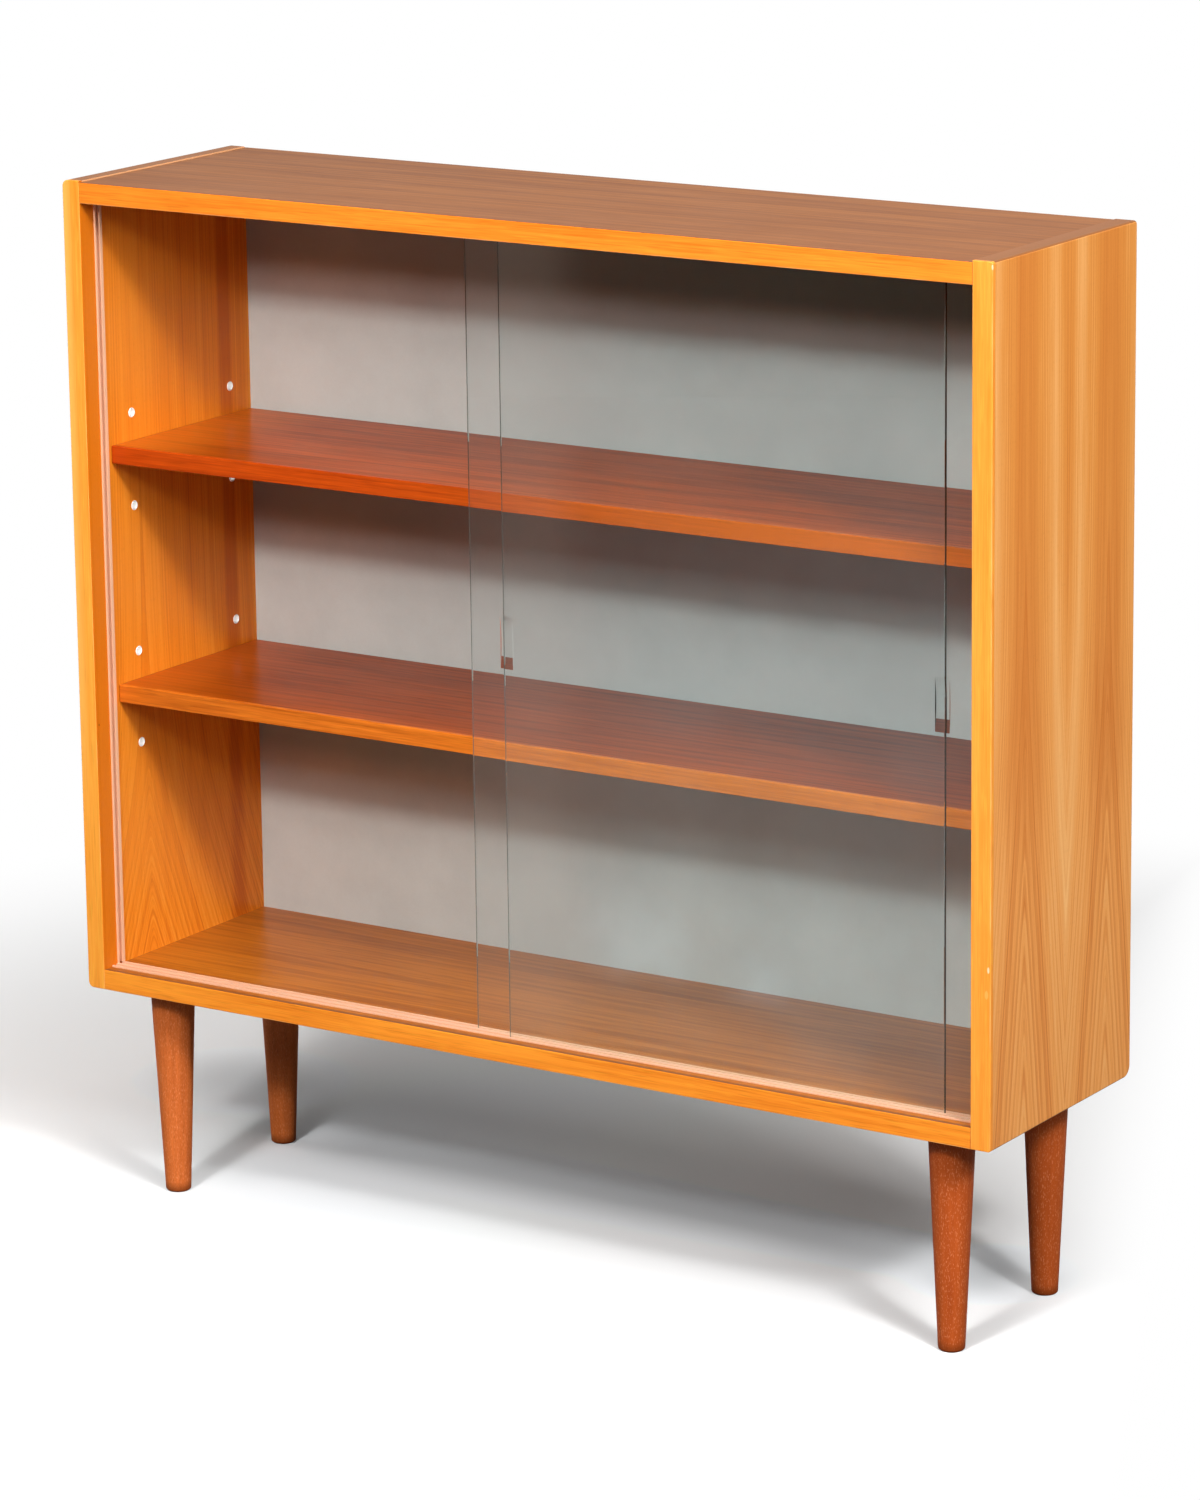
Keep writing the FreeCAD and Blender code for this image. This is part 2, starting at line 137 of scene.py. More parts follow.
class BookcaseWood(bpy.types.PropertyGroup):
    side_dark: colour("Side Dark", "Red-brown bands of the side veneer", (0.66, 0.195, 0.032))
    side_mid: colour("Side Ground", "Ground tone of the side veneer", (0.80, 0.305, 0.060))
    side_light: colour("Side Light", "Pale streaks of the side veneer", (0.98, 0.51, 0.180))
    # Painted light: the side veneer turns paler toward the foot, for light bounced up from the floor
    side_foot_lit: colour("Side Foot Light", "Ground tone toward the foot of the side veneer", (0.89, 0.365, 0.092))
    inner_dark: colour("Inner Dark", "Dark lines of the sides inside the case", (0.64, 0.140, 0.007))
    inner_mid: colour("Inner Ground", "Ground tone of the sides inside the case", (0.86, 0.256, 0.016))
    inner_light: colour("Inner Light", "Pale lines of the sides inside the case", (0.96, 0.39, 0.050))
    board_dark: colour("Board Dark", "Dark lines of the top veneer", (0.235, 0.078, 0.021))
    board_light: colour("Board Light", "Pale lines of the top veneer", (0.345, 0.124, 0.032))
    floor_dark: colour("Floor Dark", "Dark lines of the bottom board inside the case", (0.31, 0.082, 0.007))
    floor_light: colour("Floor Light", "Pale lines of the bottom board inside the case", (0.49, 0.148, 0.012))
    upright_dark: colour("Upright Dark", "Dark grain of the upright front strips", (0.85, 0.27, 0.022))
    upright_light: colour("Upright Light", "Pale grain of the upright front strips", (0.98, 0.40, 0.052))
    level_dark: colour("Level Dark", "Dark grain of the level front strips", (0.72, 0.170, 0.008))
    level_light: colour("Level Light", "Pale grain of the level front strips", (0.95, 0.31, 0.026))
    # Painted shade: a darker tone on the narrow inner faces in front of the door channels
    reveal: colour("Reveal Shade", "Inner faces of the sides in front of the door channels", (0.68, 0.170, 0.006))
    shelf_dark: colour("Shelf Dark", "Dark lines of the shelf veneer", (0.25, 0.036, 0.001))
    shelf_light: colour("Shelf Light", "Pale lines of the shelf veneer", (0.49, 0.083, 0.002))
    # Painted reflections of the lit side panel on the left ends of the shelves
    upper_end_reflection: colour("Upper End Reflection", "Open left end of the upper shelf", (0.78, 0.21, 0.018))
    lower_end_reflection: colour("Lower End Reflection", "Open left end of the lower shelf", (0.62, 0.13, 0.012))
    upper_strip_dark: colour("Upper Strip Dark", "Dark grain, upper shelf strip", (0.33, 0.029, 0.001))
    upper_strip_light: colour("Upper Strip Light", "Pale grain, upper shelf strip", (0.56, 0.068, 0.003))
    lower_strip_dark: colour("Lower Strip Dark", "Dark grain, lower shelf strip", (0.42, 0.078, 0.004))
    lower_strip_light: colour("Lower Strip Light", "Pale grain, lower shelf strip", (0.76, 0.185, 0.014))
    mellow: colour("Mellow", "What the shelves' strips turn to at the right", (0.64, 0.19, 0.015))
    leg_dark: colour("Leg Dark", "Dark grain of the stained legs", (0.44, 0.080, 0.013))
    leg_light: colour("Leg Light", "Pale grain of the stained legs", (0.78, 0.190, 0.040))
    # Painted shade: how much darker the right legs are than the left ones
    right_leg_shade: share("Right Leg Shade", "How much deeper the right legs are stained than the left ones", 0.38)
    lacquer: share("Lacquer Roughness", "How dull the lacquer is", 0.34)
    leaf_heart: length("Leaf Heart", "From the seam of two leaves to the heart line of each", 0.084)
    flame_start: length("Flame Start", "Height where the flames of the figure begin to open", 0.70)
    inner_heart: length("Inner Heart", "From the middle of the depth forward to the flame inside", 0.058)
    inner_start: length("Inner Flame Start", "Height where the flame inside begins to open", 0.47)


class BookcaseGlass(bpy.types.PropertyGroup):
    tint: colour("Glass Tint", "What a pane lets through", (0.962, 0.995, 1.0))
    # Painted light: the glows of the panes, for the dusting with a painted reflection of the floor, a fainter
    # glow at the left, the ground edges, and a painted reflection in patches
    dust_and_reflection: colour("Dust And Reflection", "Light that each dusty face of a pane sends back", (0.0062, 0.0088, 0.0092))
    left_glow: colour("Left Glow", "Light that the clean inner end of each pane sends back", (0.008, 0.0066, 0.0056))
    edge_glow: colour("Edge Glow", "Light that ground glass sends back", (0.085, 0.088, 0.085))
    bloom_reflection: colour("Bloom Reflection", "Light that the wiped cloudy patches of a pane send back", (0.015, 0.020, 0.022))
    edge: colour("Glass Edge", "What the ground edges show", (0.055, 0.085, 0.065))
    bevel: length("Edge Bevel", "Width of the ground arris round each pane", 0.0004)
    pull_width: length("Pull Width", "Width of a finger pull", 0.016)
    pull_height: length("Pull Height", "Height of a finger pull", 0.054)
    pull_depth: length("Pull Depth", "Depth of a finger pull", 0.0024)
    pull_inset: length("Pull Inset", "From a door's outer edge to the middle of its pull", 0.044)
    pull_level: length("Pull Level", "Middle of a pull above the underside of the case", 0.434)


class BookcaseTrim(bpy.types.PropertyGroup):
    track: colour("Track", "Plastic of the tracks and channels", (0.88, 0.50, 0.31))
    socket: colour("Socket", "Plastic of the shelf-pin sockets", (0.96, 0.95, 0.92))
    paint: colour("Back Paint", "Paint on the inside of the back panel", (0.605, 0.645, 0.612))
    hardboard: colour("Hardboard", "Bare outside of the back panel", (0.30, 0.17, 0.085))
    steel: colour("Steel", "Nails, leg studs and leg inserts", (0.50, 0.48, 0.45))
    brass: colour("Brass", "Shelf pins", (0.75, 0.56, 0.28))


class BookcaseStage(bpy.types.PropertyGroup):
    camera_place: FloatVectorProperty(
        name="Camera Place", description="Where the camera stands", default=(3.0725, -4.6917, 1.9519),
        size=3, subtype="TRANSLATION", unit="LENGTH",
    )
    camera_azimuth: angle("Camera Azimuth", "Round the object, from the front to its right side", 33.10)
    camera_elevation: angle("Camera Elevation", "Above the level", 12.71)
    camera_roll: angle("Camera Roll", "Lean of the camera", 0.715)
    lens: FloatProperty(
        name="Lens", description="Focal length on a 36 mm long side", default=135.2, unit="CAMERA"
    )
    front_power: power("Front Lamp", "Power of the lamp in front", 142)
    side_power: power("Side Lamp", "Power of the lamp at the right", 178)
    top_power: power("Top Lamp", "Power of the wide lamp overhead", 125)
    left_power: power("Left Lamp", "Power of the low lamp at the left", 33)
    back_power: power("Back Lamp", "Power of the lamp behind", 120)
    ambient: FloatProperty(name="Ambient", description="Light from all round", default=0.012, min=0)


# ---------------------------------------------------------------- node helpers


def join(tree, source, target):
    """Links a socket to a socket, or sets a plain value on it."""
    if isinstance(source, bpy.types.NodeSocket):
        tree.links.new(source, target)
    elif target.type == "RGBA" and len(source) == 3:
        target.default_value = (*source, 1.0)
    else:
        target.default_value = source


def add_node(tree, kind, terms, **settings):
    """A node with its settings, and terms joined to its inputs: in their order, or by {input: term}."""
    node = tree.nodes.new(kind)
    for name, value in settings.items():
        setattr(node, name, value)
    for place, term in terms.items() if isinstance(terms, dict) else enumerate(terms):
        join(tree, term, node.inputs[place])
    return node.outputs


def calc(tree, operation, *terms):
    return add_node(tree, "ShaderNodeMath", terms, operation=operation)[0]


def vector_calc(tree, operation, *terms):
    outputs = add_node(tree, "ShaderNodeVectorMath", terms, operation=operation)
    return outputs["Value" if operation == "LENGTH" else "Vector"]


def times(tree, first, *others):
    for other in others:
        first = calc(tree, "MULTIPLY", first, other)
    return first


def plus(tree, first, *others):
    for other in others:
        first = calc(tree, "ADD", first, other)
    return first


def minus(tree, first, second):
    return calc(tree, "SUBTRACT", first, second)


def larger(tree, first, second):
    return calc(tree, "MAXIMUM", first, second)


def magnitude(tree, value):
    return calc(tree, "ABSOLUTE", value)


def below(tree, value, limit):
    """1 where a value is less than a limit, 0 elsewhere."""
    return calc(tree, "LESS_THAN", value, limit)


def above(tree, value, limit):
    """1 where a value is more than a limit, 0 elsewhere."""
    return calc(tree, "GREATER_THAN", value, limit)


def reach(tree, *offsets):
    """How far a place is from another, by its offsets along square axes."""
    return calc(tree, "SQRT", plus(tree, *(times(tree, offset, offset) for offset in offsets)))


def fade(tree, value, low, high, from_share=0.0, to_share=1.0):
    """A smooth step of a value, from one share at low to another at high."""
    terms = (value, low, high, from_share, to_share)
    return add_node(tree, "ShaderNodeMapRange", terms, interpolation_type="SMOOTHSTEP")[0]


def fade_linear(tree, value, low, high):
    """An even step of a value, from 0 at low to 1 at high."""
    return add_node(tree, "ShaderNodeMapRange", (value, low, high))[0]


def combine(tree, x, y, z):
    return add_node(tree, "ShaderNodeCombineXYZ", (x, y, z))[0]


def split(tree, vector):
    return tuple(add_node(tree, "ShaderNodeSeparateXYZ", (vector,)))


def noise(tree, vector, scale, detail=2.0, roughness=0.5):
    terms = {"Vector": vector, "Scale": scale, "Detail": detail, "Roughness": roughness}
    return add_node(tree, "ShaderNodeTexNoise", terms)[0]


def line_noise(tree, place, scale, detail=2.0):
    """Noise that varies along one number only."""
    terms = {"W": place, "Scale": scale, "Detail": detail}
    return add_node(tree, "ShaderNodeTexNoise", terms, noise_dimensions="1D")[0]


def dashes(tree, along, across, seed, stretch, scale, detail=1.0):
    """Noise drawn out along the grain by a stretch."""
    return noise(tree, combine(tree, calc(tree, "DIVIDE", along, stretch), across, seed), scale, detail)


def sway(tree, tone, *strays):
    """Shifts a tone by pairs of a noise and an amount, as far as each noise strays from its middle."""
    for source, amount in strays:
        tone = calc(tree, "MULTIPLY_ADD", minus(tree, source, 0.5), amount, tone)
    return tone


def mix(tree, factor, first, second, way="MIX"):
    """Mixes two colours, whose sockets on the node come after those for numbers and vectors."""
    terms = {0: factor, 6: first, 7: second}
    settings = {"data_type": "RGBA", "blend_type": way, "clamp_result": way != "MIX"}
    return add_node(tree, "ShaderNodeMix", terms, **settings)[2]


def ramp(tree, factor, stops):
    """A colour for each place from 0 to 1, with even changes between the stops."""
    node = tree.nodes.new("ShaderNodeValToRGB")
    elements = node.color_ramp.elements
    while len(elements) < len(stops):
        elements.new(1.0)
    for element, (place, tone) in zip(elements, stops):
        element.position = place
        element.color = (*tone, 1.0)
    join(tree, factor, node.inputs["Fac"])
    return node.outputs["Color"]


def curve(tree, factor, stops):
    """A number for each place from 0 to 1."""
    return ramp(tree, factor, [(place, (level, level, level)) for place, level in stops])


def shaded(tone, amount):
    """A colour made darker or lighter by one factor."""
    return tuple(amount * channel for channel in tone)


def place_group(tree, name, **terms):
    """Puts a shared group in a material, with its own values. Spaces in names are underscores."""
    spaced = {term_name.replace("_", " "): term for term_name, term in terms.items()}
    return add_node(tree, "ShaderNodeGroup", spaced, node_tree=bpy.data.node_groups[name])


def start_group(name, inputs, outputs):
    """An empty group: its inputs as {name: default}, where None is a vector, and its outputs' names."""
    tree = bpy.data.node_groups.new(name, "ShaderNodeTree")
    for socket_name, default in inputs.items():
        kind = "NodeSocketVector" if default is None else "NodeSocketFloat"
        socket = tree.interface.new_socket(socket_name, in_out="INPUT", socket_type=kind)
        if default is not None:
            socket.default_value = default
    for socket_name in outputs:
        tree.interface.new_socket(socket_name, in_out="OUTPUT", socket_type="NodeSocketFloat")
    given = tree.nodes.new("NodeGroupInput").outputs
    taken = tree.nodes.new("NodeGroupOutput").inputs
    return tree, given, taken


def start_material(name):
    """A material, its tree, the inputs of its Principled shader and its texture coordinates."""
    material = bpy.data.materials.new(name)
    material.use_nodes = True
    tree = material.node_tree
    shader = next(node for node in tree.nodes if node.type == "BSDF_PRINCIPLED")
    coordinates = tree.nodes.new("ShaderNodeTexCoord").outputs
    return material, tree, shader.inputs, coordinates


def principled(shader):
    """The output of the Principled shader that has these inputs."""
    return shader["Base Color"].node.outputs[0]


def either_shader(tree, factor, first, second):
    return add_node(tree, "ShaderNodeMixShader", (factor, first, second))[0]


def set_surface(tree, surface):
    output = next(node for node in tree.nodes if node.type == "OUTPUT_MATERIAL")
    join(tree, surface, output.inputs["Surface"])


def glow(tree, shader, light):
    """Makes a surface send out a little light of its own."""
    join(tree, light, shader["Emission Color"])
    shader["Emission Strength"].default_value = 1.0


def bump(tree, height, distance, strength=1.0):
    terms = {"Height": height, "Distance": distance, "Strength": strength}
    return add_node(tree, "ShaderNodeBump", terms)["Normal"]


def facing(tree, coordinates, axis):
    """How squarely a face looks along an axis: 1 or -1 on it, 0 beside it."""
    return split(tree, coordinates["Normal"])["XYZ".index(axis)]


def ray_kinds(tree):
    """Masks for rays from the camera, straight or through panes, and for those off a mirror on the way."""
    path = tree.nodes.new("ShaderNodeLightPath").outputs
    unbounced = below(tree, path["Diffuse Depth"], 0.5)
    direct = times(tree, unbounced, below(tree, path["Glossy Depth"], 0.5))
    return direct, minus(tree, unbounced, direct)


# ---------------------------------------------------------------- shared effects


def make_leaf_figure_group():
    """Growth lines of two mirrored veneer leaves: straight above a height, opening into flames below it."""
    inputs = {
        "Along": 0.0, "Across": 0.0, "Seam": 0.0, "Heart": 0.08,
        "Flame Start": 0.70, "Flame Spread": 0.06, "Wander": 0.006, "Seed": 0.0,
    }
    tree, given, taken = start_group("Leaf Figure", inputs, ("Ring", "Flame"))
    tip_radius = 0.0025
    turn_length = 0.10
    flame_from, flame_to = 0.05, 0.28
    along, across = given["Along"], given["Across"]
    from_heart = minus(tree, magnitude(tree, minus(tree, across, given["Seam"])), given["Heart"])
    rounded = calc(tree, "SQRT", plus(tree, times(tree, from_heart, from_heart), tip_radius**2))
    descent = minus(tree, given["Flame Start"], along)
    turned = calc(tree, "SQRT", plus(tree, times(tree, descent, descent), turn_length**2))
    opened = times(tree, plus(tree, descent, turned), given["Flame Spread"])
    drift_place = combine(tree, along, times(tree, across, 3.0), given["Seed"])
    drift = noise(tree, drift_place, scale=2.6, detail=4.0)
    wobble = times(tree, minus(tree, drift, 0.5), given["Wander"])
    join(tree, plus(tree, minus(tree, rounded, opened), wobble), taken["Ring"])
    join(tree, fade(tree, descent, flame_from, flame_to), taken["Flame"])


def make_fibre_group():
    """Fine grain: long streaks at three widths, short dark pores and broad clouds."""
    inputs = {"Along": 0.0, "Across": 0.0, "Depth": 0.0, "Seed": 0.0}
    tree, given, taken = start_group("Wood Fibre", inputs, ("Streaks", "Pores", "Clouds"))
    along = plus(tree, given["Along"], given["Seed"])

    def streaks(stretch, scale, detail=2.0):
        place = combine(tree, given["Across"], given["Depth"], calc(tree, "DIVIDE", along, stretch))
        return noise(tree, place, scale, detail)

    broad = streaks(stretch=45.0, scale=210.0)
    medium = streaks(stretch=60.0, scale=620.0)
    narrow = streaks(stretch=50.0, scale=1700.0, detail=1.0)
    pores = streaks(stretch=14.0, scale=2400.0, detail=0.0)
    total = plus(tree, times(tree, broad, 0.45), times(tree, medium, 0.35), times(tree, narrow, 0.20))
    join(tree, total, taken["Streaks"])
    join(tree, fade(tree, pores, 0.66, 0.78), taken["Pores"])
    join(tree, streaks(stretch=5.0, scale=14.0), taken["Clouds"])


def make_arris_group():
    """Lighter stretches of a long edge, partly wear from rubbing and partly a painted highlight, from the two
    distances to it.
    """
    inputs = {"Along": 0.0, "Offset A": 0.0, "Offset B": 0.0, "Width": 0.0012, "Seed": 0.0}
    tree, given, taken = start_group("Arris Wear And Highlight", inputs, ("Rub",))
    distance = reach(tree, given["Offset A"], given["Offset B"])
    along = plus(tree, given["Along"], given["Seed"])
    near = fade(tree, distance, given["Width"], times(tree, given["Width"], 2.2), 1.0, 0.0)
    stretches = fade(tree, line_noise(tree, along, scale=9.0, detail=4.0), 0.35, 0.65)
    join(tree, times(tree, near, stretches), taken["Rub"])


def make_handling_group():
    """Uneven lacquer: cloudy patches and short fine scratches, as a share from 0 to 1."""
    tree, given, taken = start_group("Handling Marks", {"Vector": None, "Seed": 0.0}, ("Clouds", "Scratches"))
    x, y, z = split(tree, given["Vector"])
    place = combine(tree, plus(tree, x, given["Seed"]), y, z)
    join(tree, noise(tree, place, scale=9.0, detail=4.0, roughness=0.6), taken["Clouds"])
    long_way = combine(tree, times(tree, x, 40.0), times(tree, y, 1400.0), z)
    scratches = noise(tree, long_way, scale=1.0, detail=0.0)
    join(tree, fade(tree, scratches, 0.72, 0.80), taken["Scratches"])


# ---------------------------------------------------------------- wood


def axes(tree, coordinates, grain):
    """Along, across and depth for a board whose grain runs along X or Z."""
    x, y, z = split(tree, coordinates["Object"])
    return (x, y, z) if grain == "X" else (z, y, x)


def spot(tree, coordinates, centre, size):
    """1 inside a small rounded patch about a point, 0 outside."""
    apart = vector_calc(tree, "SUBTRACT", coordinates["Object"], centre)
    strayed = vector_calc(tree, "LENGTH", vector_calc(tree, "DIVIDE", apart, size))
    return fade(tree, strayed, 0.7, 1.0, 1.0, 0.0)


def lacquer(tree, shader, coordinates, roughness, specular, height, depth, seed):
    """Uneven sheen and a fine open grain."""
    clouding, scratching = 0.10, 0.12
    shader["Specular IOR Level"].default_value = specular
    marks = place_group(tree, "Handling Marks", Vector=coordinates["Object"], Seed=seed)
    dull = calc(tree, "MULTIPLY_ADD", marks["Clouds"], clouding, roughness - clouding / 2)
    join(tree, calc(tree, "MULTIPLY_ADD", marks["Scratches"], scratching, dull), shader["Roughness"])
    join(tree, bump(tree, height, depth, strength=0.5), shader["Normal"])


def end_grain(tree, coordinates, grain):
    """1 on the sawn ends of a board, 0 on its faces."""
    return fade(tree, magnitude(tree, facing(tree, coordinates, grain)), 0.3, 0.6)


def leaf_tones(tree, figure):
    """Broad tones of the outer leaves: a dark heart with pale streaks beside it, finer toward the foot."""
    place = fade_linear(tree, figure["Ring"], -0.06, 0.09)
    upper_stops = (
        (0.00, 0.17), (0.44, 0.17), (0.52, 0.24), (0.57, 0.37), (0.61, 0.45), (0.68, 0.54), (0.72, 0.62),
        (0.76, 0.79), (0.80, 0.71), (0.84, 0.58), (0.88, 0.47), (0.96, 0.41), (1.00, 0.42),
    )
    lower_stops = (
        (0.00, 0.50), (0.20, 0.45), (0.30, 0.40), (0.36, 0.35), (0.395, 0.29), (0.43, 0.38), (0.46, 0.48),
        (0.53, 0.53), (0.60, 0.58), (0.68, 0.62), (0.74, 0.98), (0.80, 0.60), (1.00, 0.50),
    )
    upper, lower = curve(tree, place, upper_stops), curve(tree, place, lower_stops)
    return plus(tree, upper, times(tree, minus(tree, lower, upper), figure["Flame"]))


def side_veneer(wood):
    """Upright leaves with flames at the foot, other leaves inside than outside."""
    streak_y, streak_half, streak_fade = 0.098, 0.004, 0.018
    foot_light_z = (1.0, 0.45)
    head_highlight = (0.74, 0.40, 0.20)
    painted_bounce_glow = (0.010, 0.001, 0.0)
    channel_lap, crown_lap = 0.001, 0.0002
    material, tree, shader, coordinates = start_material("side_veneer")
    along, across, depth = axes(tree, coordinates, "Z")
    inside = below(tree, magnitude(tree, depth), INNER_X + SIDE_THICKNESS / 2)
    leaves = {"Along": along, "Across": across, "Wander": 0.006}
    outer_figure = place_group(
        tree, "Leaf Figure", Seam=0.006, Heart=wood.leaf_heart, Flame_Start=wood.flame_start,
        Flame_Spread=0.062, Seed=0.0, **leaves,
    )
    inner_figure = place_group(
        tree, "Leaf Figure", Seam=-wood.inner_heart, Heart=0.0, Flame_Start=wood.inner_start,
        Flame_Spread=0.20, Seed=4.0, **leaves,
    )
    fibre = place_group(tree, "Wood Fibre", Along=along, Across=across, Depth=depth, Seed=1.0)

    def grained(tone, ring, bands, lines):
        """Adds growth lines, bands of two widths and fibres to a tone."""
        lines_per_metre, straying = 800.0, 14.0
        stray = line_noise(tree, ring, scale=55.0)
        strayed = calc(tree, "MULTIPLY_ADD", stray, straying, times(tree, ring, lines_per_metre))
        strength = line_noise(tree, plus(tree, ring, 3.0), scale=130.0, detail=1.0)
        growth = times(tree, calc(tree, "SINE", strayed), fade(tree, strength, 0.35, 0.62, 0.2, 1.0))
        broad = line_noise(tree, ring, scale=70.0, detail=3.0)
        narrow = line_noise(tree, ring, scale=420.0)
        tone = sway(tree, plus(tree, tone, times(tree, growth, lines)), (broad, bands), (narrow, 0.6))
        return sway(tree, tone, (fibre["Streaks"], 0.8), (fibre["Clouds"], 0.25))

    outer_lines = calc(tree, "MULTIPLY_ADD", outer_figure["Flame"], 0.20, 0.02)
    outer_tone = grained(leaf_tones(tree, outer_figure), outer_figure["Ring"], 0.35, outer_lines)
    # Painted light: paler toward the foot, for light bounced up from the floor
    foot_lit = mix(tree, fade(tree, along, *foot_light_z), wood.side_mid, wood.side_foot_lit)
    dark_side = mix(tree, fade_linear(tree, outer_tone, 0.0, 0.5), wood.side_dark, foot_lit)
    outer = mix(tree, fade_linear(tree, outer_tone, 0.5, 1.0), dark_side, wood.side_light)

    inner_lines = calc(tree, "MULTIPLY_ADD", inner_figure["Flame"], 0.24, 0.04)
    inner_tone = grained(0.47, inner_figure["Ring"], 0.60, inner_lines)
    # A dark upright streak near the back of the inner faces: partly figure of the veneer, partly painted
    # shade
    beside_streak = magnitude(tree, minus(tree, across, streak_y))
    streak = fade(tree, beside_streak, streak_half, streak_fade, 0.9, 0.0)
    inner_tone = minus(tree, inner_tone, times(tree, streak, line_noise(tree, along, scale=7.0)))
    inner = ramp(tree, inner_tone, [(0.0, wood.inner_dark), (0.5, wood.inner_mid), (1.0, wood.inner_light)])
    # Painted shade on the inner faces in front of the door channels
    before_channel = below(tree, across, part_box("left_side_channel")[0].y + channel_lap)
    inner = mix(tree, times(tree, before_channel, 0.85), inner, wood.reveal)
    # Painted highlight: a paler tone where the inner faces stand above the top panel
    over_top_panel = above(tree, along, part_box("top_panel")[1].z - crown_lap)
    inner = mix(tree, over_top_panel, inner, head_highlight)

    ground = mix(tree, inside, outer, inner)
    pored = mix(tree, times(tree, fibre["Pores"], 0.18), ground, wood.floor_dark)
    ended = mix(tree, end_grain(tree, coordinates, "Z"), pored, shaded(wood.board_light, 0.84))
    join(tree, ended, shader["Base Color"])
    # Painted light: the inner faces glow a little red, for light bounced between the boards
    glow(tree, shader, mix(tree, inside, BLACK, painted_bounce_glow))
    lacquer(tree, shader, coordinates, wood.lacquer, 0.20, height=fibre["Streaks"], depth=0.00006, seed=0.0)
    return material


def flat_veneer(name, dark, light, seed, roughness, specular, flecks=0.3, left_end_reflection=None):
    """Lengthwise grain of a board that lies flat: broad quiet bands, fine lines and short dark flecks, and
    where given a painted reflection toward its left end.
    """
    reflection_x = (-0.38, -0.53)
    material, tree, shader, coordinates = start_material(name)
    along, across, depth = axes(tree, coordinates, "X")
    figure = place_group(
        tree, "Leaf Figure", Along=along, Across=across, Seam=0.04, Heart=0.05,
        Flame_Start=0.3, Flame_Spread=0.010, Wander=0.020, Seed=seed,
    )
    fibre = place_group(tree, "Wood Fibre", Along=along, Across=across, Depth=depth, Seed=seed)
    ring = plus(tree, figure["Ring"], seed)
    dash = dashes(tree, along, across, seed, stretch=16.0, scale=115.0, detail=2.0)
    broad, narrow = line_noise(tree, ring, scale=45.0), line_noise(tree, ring, scale=160.0)
    tone = sway(tree, 0.5, (broad, 0.7), (narrow, 1.3), (dash, 1.4))
    tone = sway(tree, tone, (fibre["Streaks"], 1.5), (fibre["Clouds"], 0.8))
    ground = ramp(tree, tone, [(0.10, dark), (0.90, light)])
    stroke = dashes(tree, along, across, seed, stretch=14.0, scale=300.0)
    flecked = mix(tree, times(tree, fade(tree, stroke, 0.66, 0.76), flecks), ground, shaded(dark, 0.6))
    # Painted reflection of the lit side panel, growing toward the left end
    if left_end_reflection is not None:
        flecked = mix(tree, fade(tree, along, *reflection_x, 0.0, 0.5), flecked, left_end_reflection)
    join(tree, mix(tree, end_grain(tree, coordinates, "X"), flecked, dark), shader["Base Color"])
    lacquer(tree, shader, coordinates, roughness, specular, fibre["Streaks"], depth=0.00005, seed=seed)
    return material


